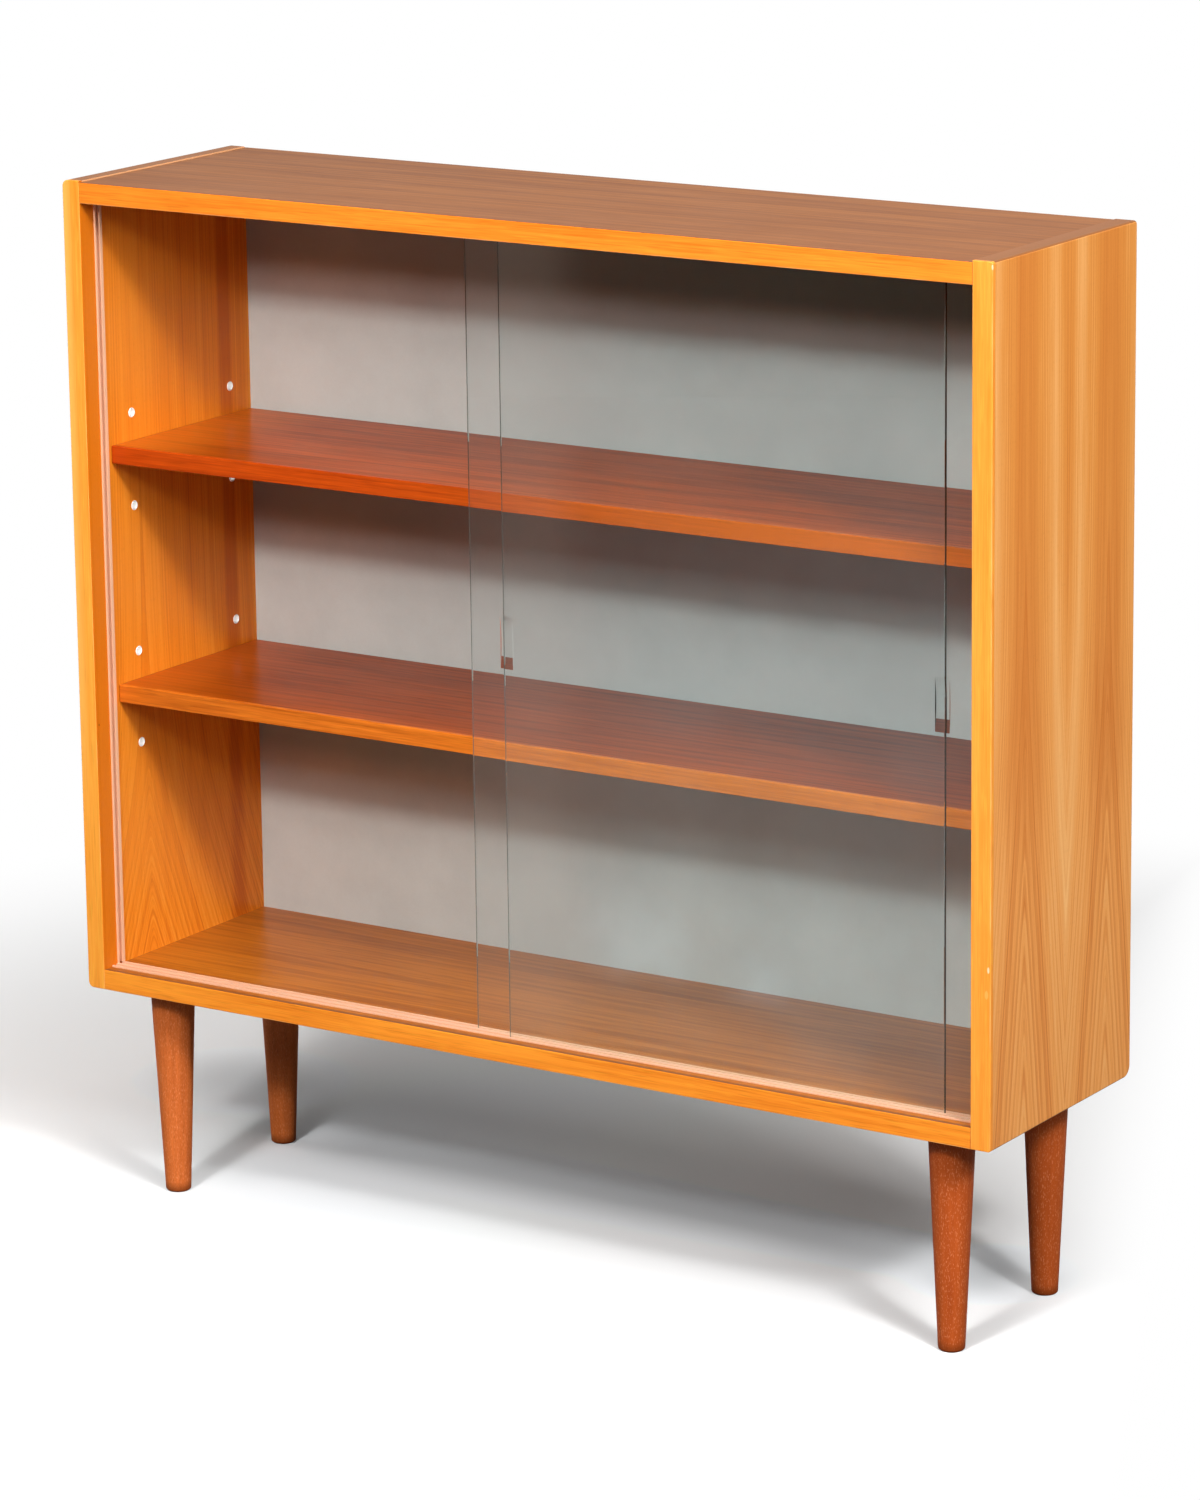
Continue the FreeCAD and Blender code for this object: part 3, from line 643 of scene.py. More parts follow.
def strip_wood(name, wood, dark, light, grain, seed, arrises=(), crown=None, mellow=None):
    """A solid strip glued on a front edge. Its arrises may be lighter in stretches, partly from wear and
    partly a painted highlight, and it may mellow toward the right.
    """
    arris_wear_and_light, paler_outer, deepened = (0.97, 0.62, 0.27), (0.98, 0.52, 0.13), (1.0, 0.91, 0.94)
    arris_width = 0.0007
    mellow_x = (-0.3, 0.35)
    paler_outer_x, paler_outer_z = (-INNER_X - 0.008, -HALF_WIDTH + 0.002), (0.35, 0.60)
    top_strip_z = 0.9
    upright = grain == "Z"
    material, tree, shader, coordinates = start_material(name)
    x, y, z = split(tree, coordinates["Object"])
    along, side = (z, x) if upright else (x, z)
    fibre = place_group(tree, "Wood Fibre", Along=along, Across=side, Depth=y, Seed=seed)
    tone = sway(tree, 0.55, (fibre["Streaks"], 2.4), (fibre["Clouds"], 1.4))
    ground = ramp(tree, tone, [(0.10, dark), (0.90, light)])
    stroke = dashes(tree, along, side, seed, stretch=22.0, scale=520.0)
    fleck = times(tree, fade(tree, stroke, 0.54, 0.74), 0.22 if upright else 0.30)
    toned = mix(tree, fleck, ground, shaded(dark, 0.55))
    # Painted highlight: short glints lighter than the wood
    glint = dashes(tree, along, side, seed + 9.0, stretch=18.0, scale=480.0)
    bright = tuple(min(1.0, channel) for channel in shaded(light, 1.7))
    toned = mix(tree, times(tree, fade(tree, glint, 0.55, 0.72), 0.15), toned, bright)
    if mellow is not None:
        toned = mix(tree, fade(tree, x, *mellow_x, 0.0, 0.4), toned, mellow)
    from_front = minus(tree, y, FRONT_Y)
    # Lighter stretches along the arrises: partly wear from rubbing, partly painted highlight
    for arris in arrises:
        arris_marks = place_group(
            tree, "Arris Wear And Highlight", Along=along, Offset_A=minus(tree, magnitude(tree, side), arris),
            Offset_B=from_front, Width=arris_width, Seed=seed + arris,
        )
        toned = mix(tree, times(tree, arris_marks["Rub"], 0.28), toned, arris_wear_and_light)
    if crown is not None:
        toned = mix(tree, fade(tree, facing(tree, coordinates, "Z"), 0.5, 0.9), toned, crown)
    if upright:
        # The left strip turns paler toward its outer edge above mid height
        outward = fade(tree, x, *paler_outer_x, 0.0, 0.5)
        toned = mix(tree, times(tree, outward, fade(tree, z, *paler_outer_z)), toned, paler_outer)
        # Painted shade on the inner faces of the upright strips
        toned = mix(tree, below(tree, magnitude(tree, x), INNER_X + 0.0004), toned, wood.reveal)
        for centre, size, paint in STRIP_MARKS:
            toned = mix(tree, spot(tree, coordinates, centre, size), toned, paint)
    ruddy = above(tree, x, 0.0) if upright else above(tree, z, top_strip_z)
    join(tree, mix(tree, ruddy, toned, deepened, "MULTIPLY"), shader["Base Color"])
    lacquer(tree, shader, coordinates, wood.lacquer, 0.18, fibre["Streaks"], depth=0.00005, seed=seed)
    return material


def leg_wood(wood):
    """Stained, turned beech: short flecks down its length and a satin lacquer. The right legs carry painted
    shade, the upper back left leg painted light, and the feet turn darker toward the floor.
    """
    right_shade_tint, back_left_lit, fleck_tone = (1.0, 0.84, 0.74), (0.98, 0.30, 0.09), (0.92, 0.38, 0.17)
    back_left_lit_z, foot_dark_z = (0.10, 0.20), (0.014, 0.001)
    material, tree, shader, coordinates = start_material("leg_beech")
    x, y, z = split(tree, coordinates["Object"])
    fibre = place_group(tree, "Wood Fibre", Along=z, Across=x, Depth=y, Seed=3.0)
    grains = noise(tree, combine(tree, x, y, calc(tree, "DIVIDE", z, 3.5)), scale=1100.0, detail=1.0)
    tone = sway(tree, 0.55, (fibre["Streaks"], 1.3), (fibre["Clouds"], 0.9))
    ground = ramp(tree, tone, [(0.10, wood.leg_dark), (0.90, wood.leg_light)])
    # Painted shade: the right legs deeper and redder than the left ones
    right = above(tree, x, 0.0)
    ground = mix(tree, times(tree, right, wood.right_leg_shade), ground, shaded(wood.leg_dark, 0.45))
    ground = mix(tree, right, ground, right_shade_tint, "MULTIPLY")
    # Painted light: the upper part of the back left leg is paler
    back_left = times(tree, below(tree, x, 0.0), above(tree, y, 0.0))
    ground = mix(tree, times(tree, back_left, fade(tree, z, *back_left_lit_z, 0.1, 0.5)), ground, back_left_lit)
    flecked = mix(tree, times(tree, fade(tree, grains, 0.56, 0.70), 0.32), ground, fleck_tone)
    pored = mix(tree, times(tree, fade(tree, grains, 0.42, 0.28), 0.45), flecked, wood.leg_dark)
    # The feet turn darker toward the floor
    foot_dark = fade(tree, z, *foot_dark_z, 0.0, 0.75)
    join(tree, mix(tree, foot_dark, pored, shaded(wood.leg_dark, 0.35)), shader["Base Color"])
    lacquer(tree, shader, coordinates, 0.38, 0.12, times(tree, grains, 0.6), depth=0.0003, seed=2.0)
    return material


def dowel_wood():
    """Plain beech."""
    dark, light = (0.52, 0.34, 0.18), (0.74, 0.54, 0.32)
    material, tree, shader, coordinates = start_material("dowel_beech")
    along, across, depth = axes(tree, coordinates, "X")
    fibre = place_group(tree, "Wood Fibre", Along=along, Across=across, Depth=depth, Seed=5.0)
    join(tree, ramp(tree, fibre["Streaks"], [(0.3, dark), (0.7, light)]), shader["Base Color"])
    shader["Roughness"].default_value = 0.7
    return material


# ---------------------------------------------------------------- other finishes


def back_board(trim):
    """Thin board: painted inside, with painted shade under the boards, bare and fibrous outside."""
    weave_tone, painted_shade_tint = (0.35, 0.31, 0.28), (0.27, 0.36, 0.33)
    shade_low, shade_high = 0.120, 0.084
    left_x, right_x = (-0.10, -0.35), (-0.45, 0.25)
    half_board = 0.0015
    material, tree, shader, coordinates = start_material("painted_hardboard")
    place = coordinates["Object"]
    x, y, z = split(tree, place)
    marks = place_group(tree, "Handling Marks", Vector=place, Seed=6.0)
    weave = noise(tree, place, scale=420.0, detail=3.0, roughness=0.6)
    paint = mix(tree, fade(tree, marks["Clouds"], 0.3, 0.7), shaded(trim.paint, 0.90), trim.paint)
    paint = mix(tree, times(tree, weave, 0.12), paint, weave_tone)
    # Painted shade: the paint darkens just below the top panel, more toward the right, and just below the
    # shelves at the left
    painted_shade_paint = tuple(dim * channel for dim, channel in zip(painted_shade_tint, trim.paint))
    leftward = fade(tree, x, *left_x, 0.0, 0.55)
    rightward = fade(tree, x, *right_x, 0.48, 0.85)
    for board, amount in (("top_panel", rightward), ("upper_shelf", leftward), ("lower_shelf", leftward)):
        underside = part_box(board)[0].z
        near_board = fade(tree, z, underside - shade_low, underside - shade_high)
        paint = mix(tree, times(tree, near_board, below(tree, z, underside), amount), paint, painted_shade_paint)
    fibres = noise(tree, place, scale=160.0, detail=4.0, roughness=0.7)
    bare = mix(tree, fibres, shaded(trim.hardboard, 0.62), trim.hardboard)
    outside = above(tree, y, BACK_Y - half_board)
    join(tree, mix(tree, outside, paint, bare), shader["Base Color"])
    join(tree, plus(tree, 0.62, times(tree, weave, 0.25)), shader["Roughness"])
    join(tree, bump(tree, weave, distance=0.00015, strength=0.5), shader["Normal"])
    return material


def track_plastic(trim):
    """Extruded plastic with faint lines along its length, level in the tracks and upright in the channels."""
    material, tree, shader, coordinates = start_material("track_plastic")
    place = coordinates["Object"]
    x, y, z = split(tree, place)
    low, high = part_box("bottom_track")[1].z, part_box("top_track")[0].z
    from_middle = magnitude(tree, minus(tree, z, (low + high) / 2))
    upright = below(tree, from_middle, (high - low) / 2)
    level = minus(tree, 1.0, upright)
    height = plus(tree, times(tree, upright, x), times(tree, level, z))
    drawn = noise(tree, combine(tree, height, y, 0.0), scale=500.0, detail=1.0)
    handled = noise(tree, place, scale=6.0, detail=3.0)
    shade = shaded(trim.track, 0.86)
    plastic = mix(tree, sway(tree, 0.85, (drawn, 0.2), (handled, 0.3)), shade, trim.track)
    # Painted shade: faces that look forward, the groove walls and the fronts of the level tracks, are darker
    wall_shade = fade(tree, facing(tree, coordinates, "Y"), -0.5, -0.9, 0.0, 0.2)
    wall_shaded = mix(tree, times(tree, wall_shade, level), plastic, shaded(shade, 0.62))
    join(tree, wall_shaded, shader["Base Color"])
    join(tree, calc(tree, "MULTIPLY_ADD", handled, 0.12, 0.30), shader["Roughness"])
    join(tree, bump(tree, drawn, distance=0.00003), shader["Normal"])
    return material


def socket_plastic(trim):
    """White plastic with a painted glow on its faces that look forward and painted shade deep in its bores.
    """
    bore_shade = (0.20, 0.13, 0.09)
    bore_shade_depth = 0.006
    material, tree, shader, coordinates = start_material("white_plastic")
    place = coordinates["Object"]
    grime = noise(tree, place, scale=700.0, detail=3.0)
    # Painted shade deep in the bores
    deep_in_bore = above(tree, magnitude(tree, split(tree, place)[0]), INNER_X + bore_shade_depth)
    clean = mix(tree, fade(tree, grime, 0.35, 0.6), shaded(trim.socket, 0.80), trim.socket)
    join(tree, mix(tree, deep_in_bore, clean, bore_shade), shader["Base Color"])
    join(tree, plus(tree, 0.22, times(tree, grime, 0.15)), shader["Roughness"])
    # Painted light: the faces that look forward glow a little
    painted_glow = fade(tree, facing(tree, coordinates, "Y"), -0.2, -0.7, 0.0, 0.42)
    glow(tree, shader, mix(tree, times(tree, painted_glow, minus(tree, 1.0, deep_in_bore)), BLACK, trim.socket))
    return material


def metal(name, tone, roughness):
    """Bare metal, a little blotched."""
    material, tree, shader, coordinates = start_material(name)
    blotch = noise(tree, coordinates["Object"], scale=600.0, detail=3.0)
    join(tree, mix(tree, blotch, shaded(tone, 0.7), tone), shader["Base Color"])
    join(tree, plus(tree, roughness, times(tree, blotch, 0.2)), shader["Roughness"])
    shader["Metallic"].default_value = 1.0
    return material


def beside_edge(tree, x, node):
    """How far a place is from the nearer upright edge of a door."""
    low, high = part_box(node)
    from_middle = magnitude(tree, minus(tree, x, (low.x + high.x) / 2))
    return magnitude(tree, minus(tree, from_middle, (high.x - low.x) / 2))


def door_glass(glass):
    """Clear float glass with green ground edges and a light dusting. Its faces glow for the dusting together
    with a painted reflection of the floor, and its ground ends and pull walls with a painted glow. Lamps
    shine through it.
    """
    edge_reach = 0.0015
    inner_x = 0.2
    edge_lean = -1.2
    veil_x, veil_z = (-0.15, 0.42), (1.05, 0.50)
    bloom_x, bloom_top, bloom_foot = (-0.05, 0.15), (0.46, 0.36), (0.322, 0.345)
    left_glow_x, edge_glow_z = (0.09, 0.02), (0.98, 0.62)
    material, tree, shader, coordinates = start_material("door_glass")
    place = coordinates["Object"]
    x, _, z = split(tree, place)
    normal_x, normal_y, normal_z = split(tree, coordinates["Normal"])
    from_edge = calc(
        tree, "MINIMUM", *(beside_edge(tree, x, f"{side}_glass_door") for side in ("left", "right"))
    )
    turned = fade(tree, magnitude(tree, normal_y), 0.35, 0.85, 1.0, 0.0)
    level = fade(tree, magnitude(tree, normal_z), 0.5, 0.7)
    edge = times(tree, turned, larger(tree, below(tree, from_edge, edge_reach), level))
    face = minus(tree, 1.0, edge)
    join(tree, mix(tree, edge, glass.tint, glass.edge), shader["Base Color"])
    shader["Transmission Weight"].default_value = 1.0
    shader["IOR"].default_value = GLASS_IOR
    smears = noise(tree, place, scale=7.0, detail=5.0, roughness=0.6)
    join(tree, times(tree, fade(tree, smears, 0.55, 0.80), 0.012), shader["Roughness"])

    # The ground inner ends lean their normal, as rough facets do, so that they swallow light
    inner = below(tree, x, inner_x)
    inner_end = times(tree, inner, turned)
    leaning = combine(tree, normal_x, calc(tree, "MULTIPLY_ADD", inner_end, edge_lean, normal_y), normal_z)
    join(tree, vector_calc(tree, "NORMALIZE", leaning), shader["Normal"])

    # Glow on both faces for the dusting and a painted reflection of the floor, growing down and to the right;
    # a painted reflection in cloudy patches near the foot; a fainter glow at and left of the middle; a
    # painted glow on the ground inner ends and on the walls of the pulls
    settled_and_mirrored = times(tree, fade(tree, x, *veil_x), fade(tree, z, *veil_z))
    clouds = noise(tree, place, scale=5.0, detail=4.0, roughness=0.55)
    cloudy = fade(tree, clouds, 0.36, 0.66, 0.45, 1.25)
    dusty_and_mirroring = mix(tree, times(tree, settled_and_mirrored, cloudy, face), BLACK, glass.dust_and_reflection)
    patches = fade(tree, noise(tree, place, scale=6.0, detail=3.0), 0.44, 0.60)
    bloom_band = times(tree, fade(tree, z, *bloom_top), fade(tree, z, *bloom_foot), fade(tree, x, *bloom_x))
    bloomed = mix(tree, times(tree, patches, bloom_band, face), dusty_and_mirroring, glass.bloom_reflection)
    left_glowing = mix(tree, fade(tree, x, *left_glow_x), bloomed, glass.left_glow)
    edge_glow_mask = times(tree, inner_end, fade(tree, z, *edge_glow_z, 0.05, 1.0))
    edge_glowing = mix(tree, edge_glow_mask, left_glowing, glass.edge_glow)
    right_wall, left_wall = fade(tree, normal_x, -0.5, -0.9), fade(tree, normal_x, 0.5, 0.9)
    pull_wall = larger(tree, right_wall, times(tree, left_wall, inner))
    pull_wall = times(tree, pull_wall, above(tree, from_edge, edge_reach))
    glow(tree, shader, mix(tree, pull_wall, edge_glowing, shaded(glass.edge_glow, 2.0)))

    path = tree.nodes.new("ShaderNodeLightPath").outputs
    through = tree.nodes.new("ShaderNodeBsdfTransparent")
    through.inputs["Color"].default_value = (*[channel**0.5 for channel in glass.tint], 1.0)
    pane = principled(shader)
    for ray in ("Is Diffuse Ray", "Is Shadow Ray"):
        pane = either_shader(tree, path[ray], pane, through.outputs[0])
    set_surface(tree, pane)
    return material


# ---------------------------------------------------------------- pieces


def finish_node(material, *names):
    """Puts a material on every face of the named nodes."""
    for name in names:
        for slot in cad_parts[name].material_slots:
            slot.material = material


def add_object(name, data):
    made = bpy.data.objects.new(name, data)
    bpy.context.scene.collection.objects.link(made)
    return made


def add_piece(name, shape, material, body, replaced):
    """Makes a bmesh into a piece of the object, smooth but for its sharp edges."""
    bmesh.ops.recalc_face_normals(shape, faces=shape.faces)
    mesh = bpy.data.meshes.new(name)
    shape.to_mesh(mesh)
    shape.free()
    mesh.shade_smooth()
    mesh.set_sharp_from_angle(angle=math.radians(28))
    mesh.materials.append(material)
    piece = add_object(name, mesh)
    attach(piece, body)
    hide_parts(replaced)
    return piece


def cut_away(piece, cutter_shape):
    """Takes a closed shape out of a piece for good."""
    mesh = bpy.data.meshes.new("cutter")
    cutter_shape.to_mesh(mesh)
    cutter_shape.free()
    cutter = add_object("cutter", mesh)
    modifier = piece.modifiers.new("cut", "BOOLEAN")
    modifier.object = cutter
    modifier.solver = "EXACT"
    bpy.context.view_layer.update()
    result = bpy.data.meshes.new_from_object(piece.evaluated_get(bpy.context.evaluated_depsgraph_get()))
    piece.modifiers.clear()
    old, name = piece.data, piece.data.name
    piece.data = result
    bpy.data.meshes.remove(old)
    result.name = name
    bpy.data.objects.remove(cutter)
    bpy.data.meshes.remove(mesh)


def spun(outline, centre, axis, segments):
    """Turns an outline of (radius, height) points round an axis through a centre."""
    shape = bmesh.new()
    turn = Vector(axis).to_track_quat("Z", "Y").to_matrix().to_4x4()
    points = [shape.verts.new((radius, 0.0, height)) for radius, height in outline]
    edges = [shape.edges.new(pair) for pair in zip(points, points[1:])]
    bmesh.ops.spin(
        shape, geom=points + edges, cent=(0, 0, 0), axis=(0, 0, 1),
        angle=math.tau, steps=segments, use_merge=True,
    )
    bmesh.ops.remove_doubles(shape, verts=shape.verts, dist=1e-6)
    shape.transform(Matrix.Translation(centre) @ turn)
    return shape


def arc(centre_radius, centre_height, radius, start, end, steps):
    """Points of a round stretch of an outline, from one angle in degrees to another."""
    turns = [math.radians(start + (end - start) * step / steps) for step in range(steps + 1)]
    return [
        (centre_radius + radius * math.cos(turn), centre_height + radius * math.sin(turn)) for turn in turns
    ]


def merged(shapes):
    """One bmesh out of several."""
    whole = bmesh.new()
    for shape in shapes:
        mesh = bpy.data.meshes.new("part")
        shape.to_mesh(mesh)
        shape.free()
        whole.from_mesh(mesh)
        bpy.data.meshes.remove(mesh)
    return whole


class BOOKCASE_OT_shared_effects(bpy.types.Operator):
    """Builds the shader groups that several finishes share"""

    bl_idname = "bookcase.shared_effects"
    bl_label = "Shared Effects"

    def execute(self, context):
        make_leaf_figure_group()
        make_fibre_group()
        make_arris_group()
        make_handling_group()
        return {"FINISHED"}


class BOOKCASE_OT_side_panels(bpy.types.Operator):
    """Finishes the two upright side panels"""

    bl_idname = "bookcase.side_panels"
    bl_label = "Side Panels"

    def execute(self, context):
        finish_node(side_veneer(context.scene.bookcase_wood), "left_side_panel", "right_side_panel")
        return {"FINISHED"}


class BOOKCASE_OT_long_boards(bpy.types.Operator):
    """Finishes the top and the bottom panel"""

    bl_idname = "bookcase.long_boards"
    bl_label = "Top and Bottom"

    def execute(self, context):
        wood = context.scene.bookcase_wood
        top = flat_veneer(
            "top_veneer", wood.board_dark, wood.board_light,
            seed=2.0, roughness=0.42, specular=0.30, flecks=0.15,
        )
        bottom = flat_veneer(
            "floor_veneer", wood.floor_dark, wood.floor_light,
            seed=7.0, roughness=0.32, specular=0.18, flecks=0.5,
        )
        finish_node(top, "top_panel")
        finish_node(bottom, "bottom_panel")
        return {"FINISHED"}


class BOOKCASE_OT_front_strips(bpy.types.Operator):
    """Finishes the solid strips on the front edges of the case"""

    bl_idname = "bookcase.front_strips"
    bl_label = "Front Strips"

    def execute(self, context):
        wood = context.scene.bookcase_wood
        edges_x = (HALF_WIDTH, INNER_X)
        edges_z = (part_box("bottom_lipping")[0].z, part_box("top_lipping")[0].z)
        upright = strip_wood("upright_strip", wood, wood.upright_dark, wood.upright_light, "Z", 1.0, edges_x)
        level = strip_wood(
            "level_strip", wood, wood.level_dark, wood.level_light, "X", 2.0, edges_z, crown=wood.board_dark
        )
        finish_node(upright, "left_side_lipping", "right_side_lipping")
        finish_node(level, "top_lipping", "bottom_lipping")
        return {"FINISHED"}


class BOOKCASE_OT_shelves(bpy.types.Operator):
    """Finishes the two shelves and their front strips"""

    bl_idname = "bookcase.shelves"
    bl_label = "Shelves"

    def execute(self, context):
        wood = context.scene.bookcase_wood
        # Each shelf has its own painted reflection of the lit side panel at its left end
        for shelf, depth_of_tone, seed, end in (
            ("upper", 1.0, 11.0, wood.upper_end_reflection),
            ("lower", 0.74, 17.0, wood.lower_end_reflection),
        ):
            dark, light = shaded(wood.shelf_dark, depth_of_tone), shaded(wood.shelf_light, depth_of_tone)
            veneer = flat_veneer(
                f"{shelf}_shelf_veneer", dark, light, seed, roughness=0.30, specular=0.10, left_end_reflection=end
            )
            finish_node(veneer, f"{shelf}_shelf")
        for shelf, dark, light, seed in (
            ("upper", wood.upper_strip_dark, wood.upper_strip_light, 3.0),
            ("lower", wood.lower_strip_dark, wood.lower_strip_light, 4.0),
        ):
            strip = strip_wood(f"{shelf}_shelf_strip", wood, dark, light, "X", seed, mellow=wood.mellow)
            finish_node(strip, f"{shelf}_shelf_lipping")
        return {"FINISHED"}


class BOOKCASE_OT_back(bpy.types.Operator):
    """Finishes the back panel, its nails and the leg studs and inserts"""

    bl_idname = "bookcase.back"
    bl_label = "Back Panel"

    def execute(self, context):
        trim = context.scene.bookcase_trim
        finish_node(back_board(trim), "back_panel")
        finish_node(metal("nail_steel", trim.steel, 0.35), "back_panel_nails", "leg_studs", "leg_inserts")
        return {"FINISHED"}


class BOOKCASE_OT_tracks(bpy.types.Operator):
    """Finishes the door tracks and the side channels"""

    bl_idname = "bookcase.tracks"
    bl_label = "Tracks"

    def execute(self, context):
        plastic = track_plastic(context.scene.bookcase_trim)
        finish_node(plastic, "bottom_track", "top_track", "left_side_channel", "right_side_channel")
        return {"FINISHED"}


def socket_cup(side, y, z):
    """A plastic cup pressed into a side panel: a collar with a rounded rim, and a blind bore for a pin."""
    collar, barrel, bore = 0.0052, 0.0046, 0.00405
    proud, floor, depth = 0.0006, 0.010, 0.011
    outer_round, inner_round = 0.00045, 0.0003
    outline = [(0.0, -depth), (barrel, -depth), (barrel, 0.0), (collar, 0.0)]
    outline += arc(collar - outer_round, proud - outer_round, outer_round, 0, 90, 6)
    outline += arc(bore + inner_round, proud - inner_round, inner_round, 90, 180, 5)
    outline += [(bore, -floor), (0.0, -floor)]
    return spun(outline, (side * INNER_X, y, z), (-side, 0, 0), 40)


class BOOKCASE_OT_shelf_fittings(bpy.types.Operator):
    """Makes the shelf-pin sockets and finishes the pins"""

    bl_idname = "bookcase.shelf_fittings"
    bl_label = "Sockets and Pins"

    def execute(self, context):
        trim = context.scene.bookcase_trim
        plastic = socket_plastic(trim)
        for side, name in ((-1, "left"), (1, "right")):
            cups = merged(socket_cup(side, y, z) for y in SOCKET_COLUMNS for z in SOCKET_LEVELS)
            sockets = f"{name}_shelf_sockets"
            add_piece(f"{name}_socket_cups", cups, plastic, "cabinet", sockets)
        finish_node(metal("pin_brass", trim.brass, 0.25), "upper_shelf_pins", "lower_shelf_pins")
        return {"FINISHED"}


def glass_sheet(node, bevel):
    """A pane with a narrow ground arris along every edge."""
    low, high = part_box(node)
    shape = bmesh.new()
    bmesh.ops.create_cube(shape, size=1.0)
    shape.transform(Matrix.Translation((low + high) / 2) @ Matrix.Diagonal((*(high - low), 1.0)))
    bmesh.ops.bevel(
        shape, geom=shape.edges, offset=bevel, segments=1, profile=0.5, affect="EDGES", material=-1
    )
    return shape


def grinding_wheel(node, outer_side, glass):
    """The wheel that grinds a finger pull into the front of a pane, near its outer edge."""
    low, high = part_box(node)
    radius = (glass.pull_height**2 / 4 + glass.pull_depth**2) / (2 * glass.pull_depth)
    outer_x = high.x if outer_side > 0 else low.x
    x = outer_x - outer_side * glass.pull_inset
    y = low.y + glass.pull_depth - radius
    shape = bmesh.new()
    bmesh.ops.create_cone(
        shape, cap_ends=True, segments=720, radius1=radius, radius2=radius, depth=glass.pull_width
    )
    place = Matrix.Translation((x, y, UNDERSIDE_Z + glass.pull_level))
    shape.transform(place @ Matrix.Rotation(math.radians(90), 4, "Y"))
    return shape


class BOOKCASE_OT_doors(bpy.types.Operator):
    """Makes the two glass doors, each with ground edges and a finger pull"""

    bl_idname = "bookcase.doors"
    bl_label = "Glass Doors"

    def execute(self, context):
        glass = context.scene.bookcase_glass
        material = door_glass(glass)
        for side, outer_side in (("left", -1), ("right", 1)):
            node = f"{side}_glass_door"
            sheet = glass_sheet(node, glass.bevel)
            pane = add_piece(f"{side}_door_glass", sheet, material, f"{side}_door", node)
            cut_away(pane, grinding_wheel(node, outer_side, glass))
            pane.data.set_sharp_from_angle(angle=math.radians(5))
        return {"FINISHED"}


class BOOKCASE_OT_legs(bpy.types.Operator):
    """Finishes the legs and the hidden dowels"""

    bl_idname = "bookcase.legs"
    bl_label = "Legs and Dowels"

    def execute(self, context):
        legs = [f"{end}_{side}_leg" for end in ("front", "back") for side in ("left", "right")]
        finish_node(leg_wood(context.scene.bookcase_wood), *legs)
        dowels = [f"{level}_{side}_dowels" for level in ("top", "bottom") for side in ("left", "right")]
        finish_node(dowel_wood(), *dowels)
        return {"FINISHED"}


# ---------------------------------------------------------------- stage


def floor_paper():
    """Pale paper. Where it is seen, it carries painted shade and painted shadows under and behind the case,
    painted light before and to the right of it, and turns white farther out.
    """
    cool, neutral = (0.968, 1.0, 1.026), WHITE
    middle_y, lean = 0.15, 0.45
    shaded_ring, tinted_ring, bare_ring, white_ring = (0.35, 0.85), (0.35, 1.2), (2.2, 5.0), (0.90, 1.65)
    rim_back, rim_front = (0.22, 0.15), (0.03, 0.12)
    left_leg_x, right_leg_x = (-0.48, -0.38), (0.36, 0.28)
    material, tree, shader, coordinates = start_material("floor_paper")
    shader["Roughness"].default_value = 0.9
    shader["Specular IOR Level"].default_value = 0.0
    seen = ray_kinds(tree)[0]
    x, y, _ = split(tree, coordinates["Object"])
    near = reach(tree, x, minus(tree, y, middle_y))
    # Painted shade close to the case, and painted shade at the left turning to painted light at the right
    paper = times(tree, fade(tree, near, *shaded_ring, 0.86, 1.02), fade(tree, x, -0.6, 0.8, 0.92, 1.14))
    # Painted shadows: a dark patch near the right back leg and a lighter one behind the left of the case
    for centre_x, centre_y, radius, shade in ((0.41, 0.12, 0.13, 0.42), (-0.67, 0.26, 0.17, 0.66)):
        from_centre = reach(tree, minus(tree, x, centre_x), minus(tree, y, centre_y))
        paper = times(tree, paper, fade(tree, from_centre, 0.0, radius, shade, 1.0))
    # Painted shade in a band under the case, between the legs
    between_legs = times(tree, fade(tree, x, *left_leg_x), fade(tree, x, *right_leg_x))
    rim = calc(tree, "MINIMUM", fade(tree, y, *rim_back), fade(tree, y, *rim_front))
    rim_shade = times(tree, between_legs, fade(tree, x, -0.40, 0.10, 0.22, 0.37))
    paper = times(tree, paper, minus(tree, 1.0, times(tree, rim, rim_shade)))
    unseen = fade(tree, reach(tree, x, y), *bare_ring, 0.16, 0.0)
    level = calc(tree, "MULTIPLY_ADD", seen, paper, unseen)
    tinted = mix(tree, fade(tree, near, *tinted_ring), cool, neutral)
    join(tree, mix(tree, 1.0, combine(tree, level, level, level), tinted, "MULTIPLY"), shader["Base Color"])

    far_out = fade(tree, near, *white_ring)
    # Painted light: whiter to the right, in front of the case and just before it, besides the white far out
    to_the_right = fade(tree, calc(tree, "MULTIPLY_ADD", y, lean, x), 0.44, 0.64)
    in_front = times(tree, fade(tree, y, 0.14, 0.03), fade(tree, x, 0.10, 0.30, 0.20, 0.0))
    before_case = times(tree, fade(tree, y, 0.06, -0.03, 0.0, 0.36), between_legs)
    whitened = far_out
    for brighter in (to_the_right, in_front, before_case):
        whitened = larger(tree, whitened, brighter)
    white = tree.nodes.new("ShaderNodeEmission").outputs[0]
    set_surface(tree, either_shader(tree, times(tree, seen, whitened), principled(shader), white))
    return material


def make_floor():
    """A wide pale floor that fades into the white background."""
    mesh = bpy.data.meshes.new("floor")
    shape = bmesh.new()
    bmesh.ops.create_circle(shape, cap_ends=True, radius=14.0, segments=96)
    shape.to_mesh(mesh)
    shape.free()
    mesh.materials.append(floor_paper())
    floor = add_object("floor", mesh)


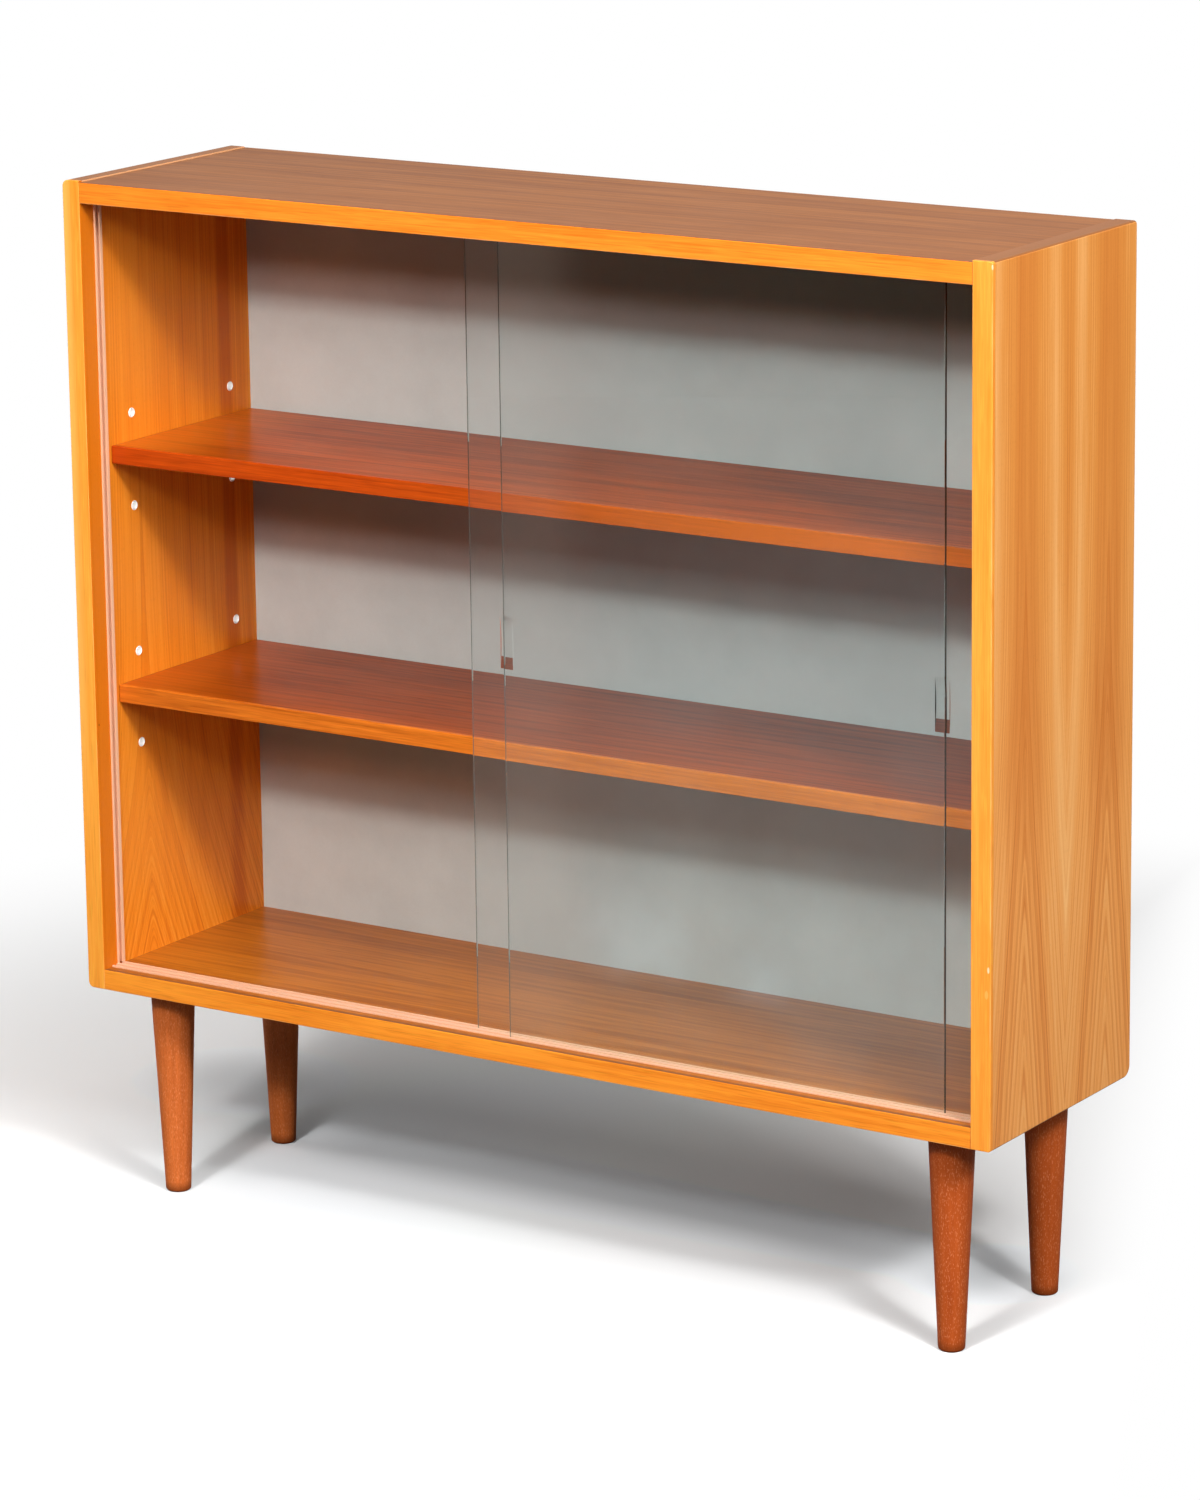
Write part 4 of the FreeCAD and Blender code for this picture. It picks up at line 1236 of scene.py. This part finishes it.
def make_world(ambient):
    """White where the camera or a pane looks, white behind and dark in front for mirrors, else dim."""
    world = bpy.data.worlds.new("studio")
    bpy.context.scene.world = world
    world.use_nodes = True
    tree = world.node_tree
    background = next(node for node in tree.nodes if node.type == "BACKGROUND")
    direct, mirrored = ray_kinds(tree)
    toward = tree.nodes.new("ShaderNodeTexCoord").outputs["Generated"]
    behind = fade(tree, split(tree, toward)[1], -0.15, 0.35, 0.0, 0.45)
    seen = plus(tree, direct, times(tree, mirrored, behind))
    background.inputs["Color"].default_value = (*WHITE, 1.0)
    join(tree, plus(tree, ambient, times(tree, seen, 1.0 - ambient)), background.inputs["Strength"])


def toward_place(azimuth, elevation):
    """The way to a place, from its angles round the front and above the level, in radians."""
    level = math.cos(elevation)
    return Vector((math.sin(azimuth) * level, -math.cos(azimuth) * level, math.sin(elevation)))


def turn_to(made, out, roll=0.0):
    """Turns a lamp or a camera so that it looks back along a way."""
    made.rotation_mode = "QUATERNION"
    made.rotation_quaternion = out.to_track_quat("Z", "Y") @ Quaternion((0, 0, 1), roll)


def make_lamp(name, azimuth, elevation, size, watts):
    """A square soft lamp that faces the middle of the case, placed by angles in degrees."""
    distance = 4.5
    aim = Vector((0.0, 0.0, 0.6))
    data = bpy.data.lights.new(name, "AREA")
    data.shape = "SQUARE"
    data.size = size
    data.energy = watts
    lamp = add_object(name, data)
    out = toward_place(math.radians(azimuth), math.radians(elevation))
    lamp.location = aim + out * distance
    turn_to(lamp, out)
    lamp.visible_camera = False
    return lamp


def light_only(lamp, names):
    """Keeps a lamp from every surface but the named nodes."""
    lit = bpy.data.collections.new(f"{lamp.name}_lit")
    for name in names:
        lit.objects.link(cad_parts[name])
    lamp.light_linking.receiver_collection = lit


def make_camera(stage):
    data = bpy.data.cameras.new("camera")
    data.sensor_width = 36.0
    data.lens = stage.lens
    data.shift_y = -0.1
    data.clip_end = 100.0
    camera = add_object("camera", data)
    camera.location = stage.camera_place
    turn_to(camera, toward_place(stage.camera_azimuth, stage.camera_elevation), -stage.camera_roll)
    bpy.context.scene.camera = camera


class BOOKCASE_OT_stage(bpy.types.Operator):
    """Sets the floor, the lamps, the background and the camera"""

    bl_idname = "bookcase.stage"
    bl_label = "Stage"

    def execute(self, context):
        stage = context.scene.bookcase_stage
        make_floor()
        make_world(stage.ambient)
        # Each lamp ends with the nodes that it lights, or lights everything where it names none
        for name, azimuth, elevation, size, watts, *lit in (
            ("front_lamp", 4.0, 31.0, 1.2, stage.front_power * 0.55),
            ("front_core_lamp", 4.0, 31.0, 0.3, stage.front_power * 0.45),
            ("side_lamp", 63.0, 31.5, 1.5, stage.side_power * 0.65),
            ("side_core_lamp", 63.0, 31.5, 0.4, stage.side_power * 0.35),
            ("top_lamp", 25.0, 70.0, 3.0, stage.top_power),
            ("left_lamp", -88.0, 15.0, 1.4, stage.left_power),
            ("back_lamp", 180.0, 25.0, 2.0, stage.back_power, "back_panel", "back_panel_nails"),
            ("far_side_lamp", -100.0, 12.0, 2.0, stage.back_power, "left_side_panel"),
        ):
            lamp = make_lamp(name, azimuth, elevation, size, watts)
            if lit:
                light_only(lamp, lit)
        make_camera(stage)
        context.scene.view_settings.view_transform = "Standard"
        return {"FINISHED"}


SETTINGS = {
    "bookcase_wood": BookcaseWood,
    "bookcase_glass": BookcaseGlass,
    "bookcase_trim": BookcaseTrim,
    "bookcase_stage": BookcaseStage,
}
STEPS = (
    BOOKCASE_OT_shared_effects,
    BOOKCASE_OT_side_panels,
    BOOKCASE_OT_long_boards,
    BOOKCASE_OT_front_strips,
    BOOKCASE_OT_shelves,
    BOOKCASE_OT_back,
    BOOKCASE_OT_tracks,
    BOOKCASE_OT_shelf_fittings,
    BOOKCASE_OT_doors,
    BOOKCASE_OT_legs,
    BOOKCASE_OT_stage,
)


class BOOKCASE_PT_sidebar(bpy.types.Panel):
    """Lists the settings and the steps"""

    bl_idname = "BOOKCASE_PT_sidebar"
    bl_label = "Bookcase"
    bl_space_type = "VIEW_3D"
    bl_region_type = "UI"
    bl_category = "Bookcase"

    def draw(self, context):
        for group_name in SETTINGS:
            settings = getattr(context.scene, group_name)
            box = self.layout.box()
            for name in settings.__annotations__:
                box.prop(settings, name)
        for step in STEPS:
            self.layout.operator(step.bl_idname)


def register():
    for group in (*SETTINGS.values(), *STEPS, BOOKCASE_PT_sidebar):
        bpy.utils.register_class(group)
    for name, group in SETTINGS.items():
        setattr(bpy.types.Scene, name, PointerProperty(type=group))


def unregister():
    for name in SETTINGS:
        delattr(bpy.types.Scene, name)
    for group in reversed((*SETTINGS.values(), *STEPS, BOOKCASE_PT_sidebar)):
        bpy.utils.unregister_class(group)


def main():
    register()
    for step in STEPS:
        group, name = step.bl_idname.split(".")
        getattr(getattr(bpy.ops, group), name)()


if __name__ == "__main__":
    main()
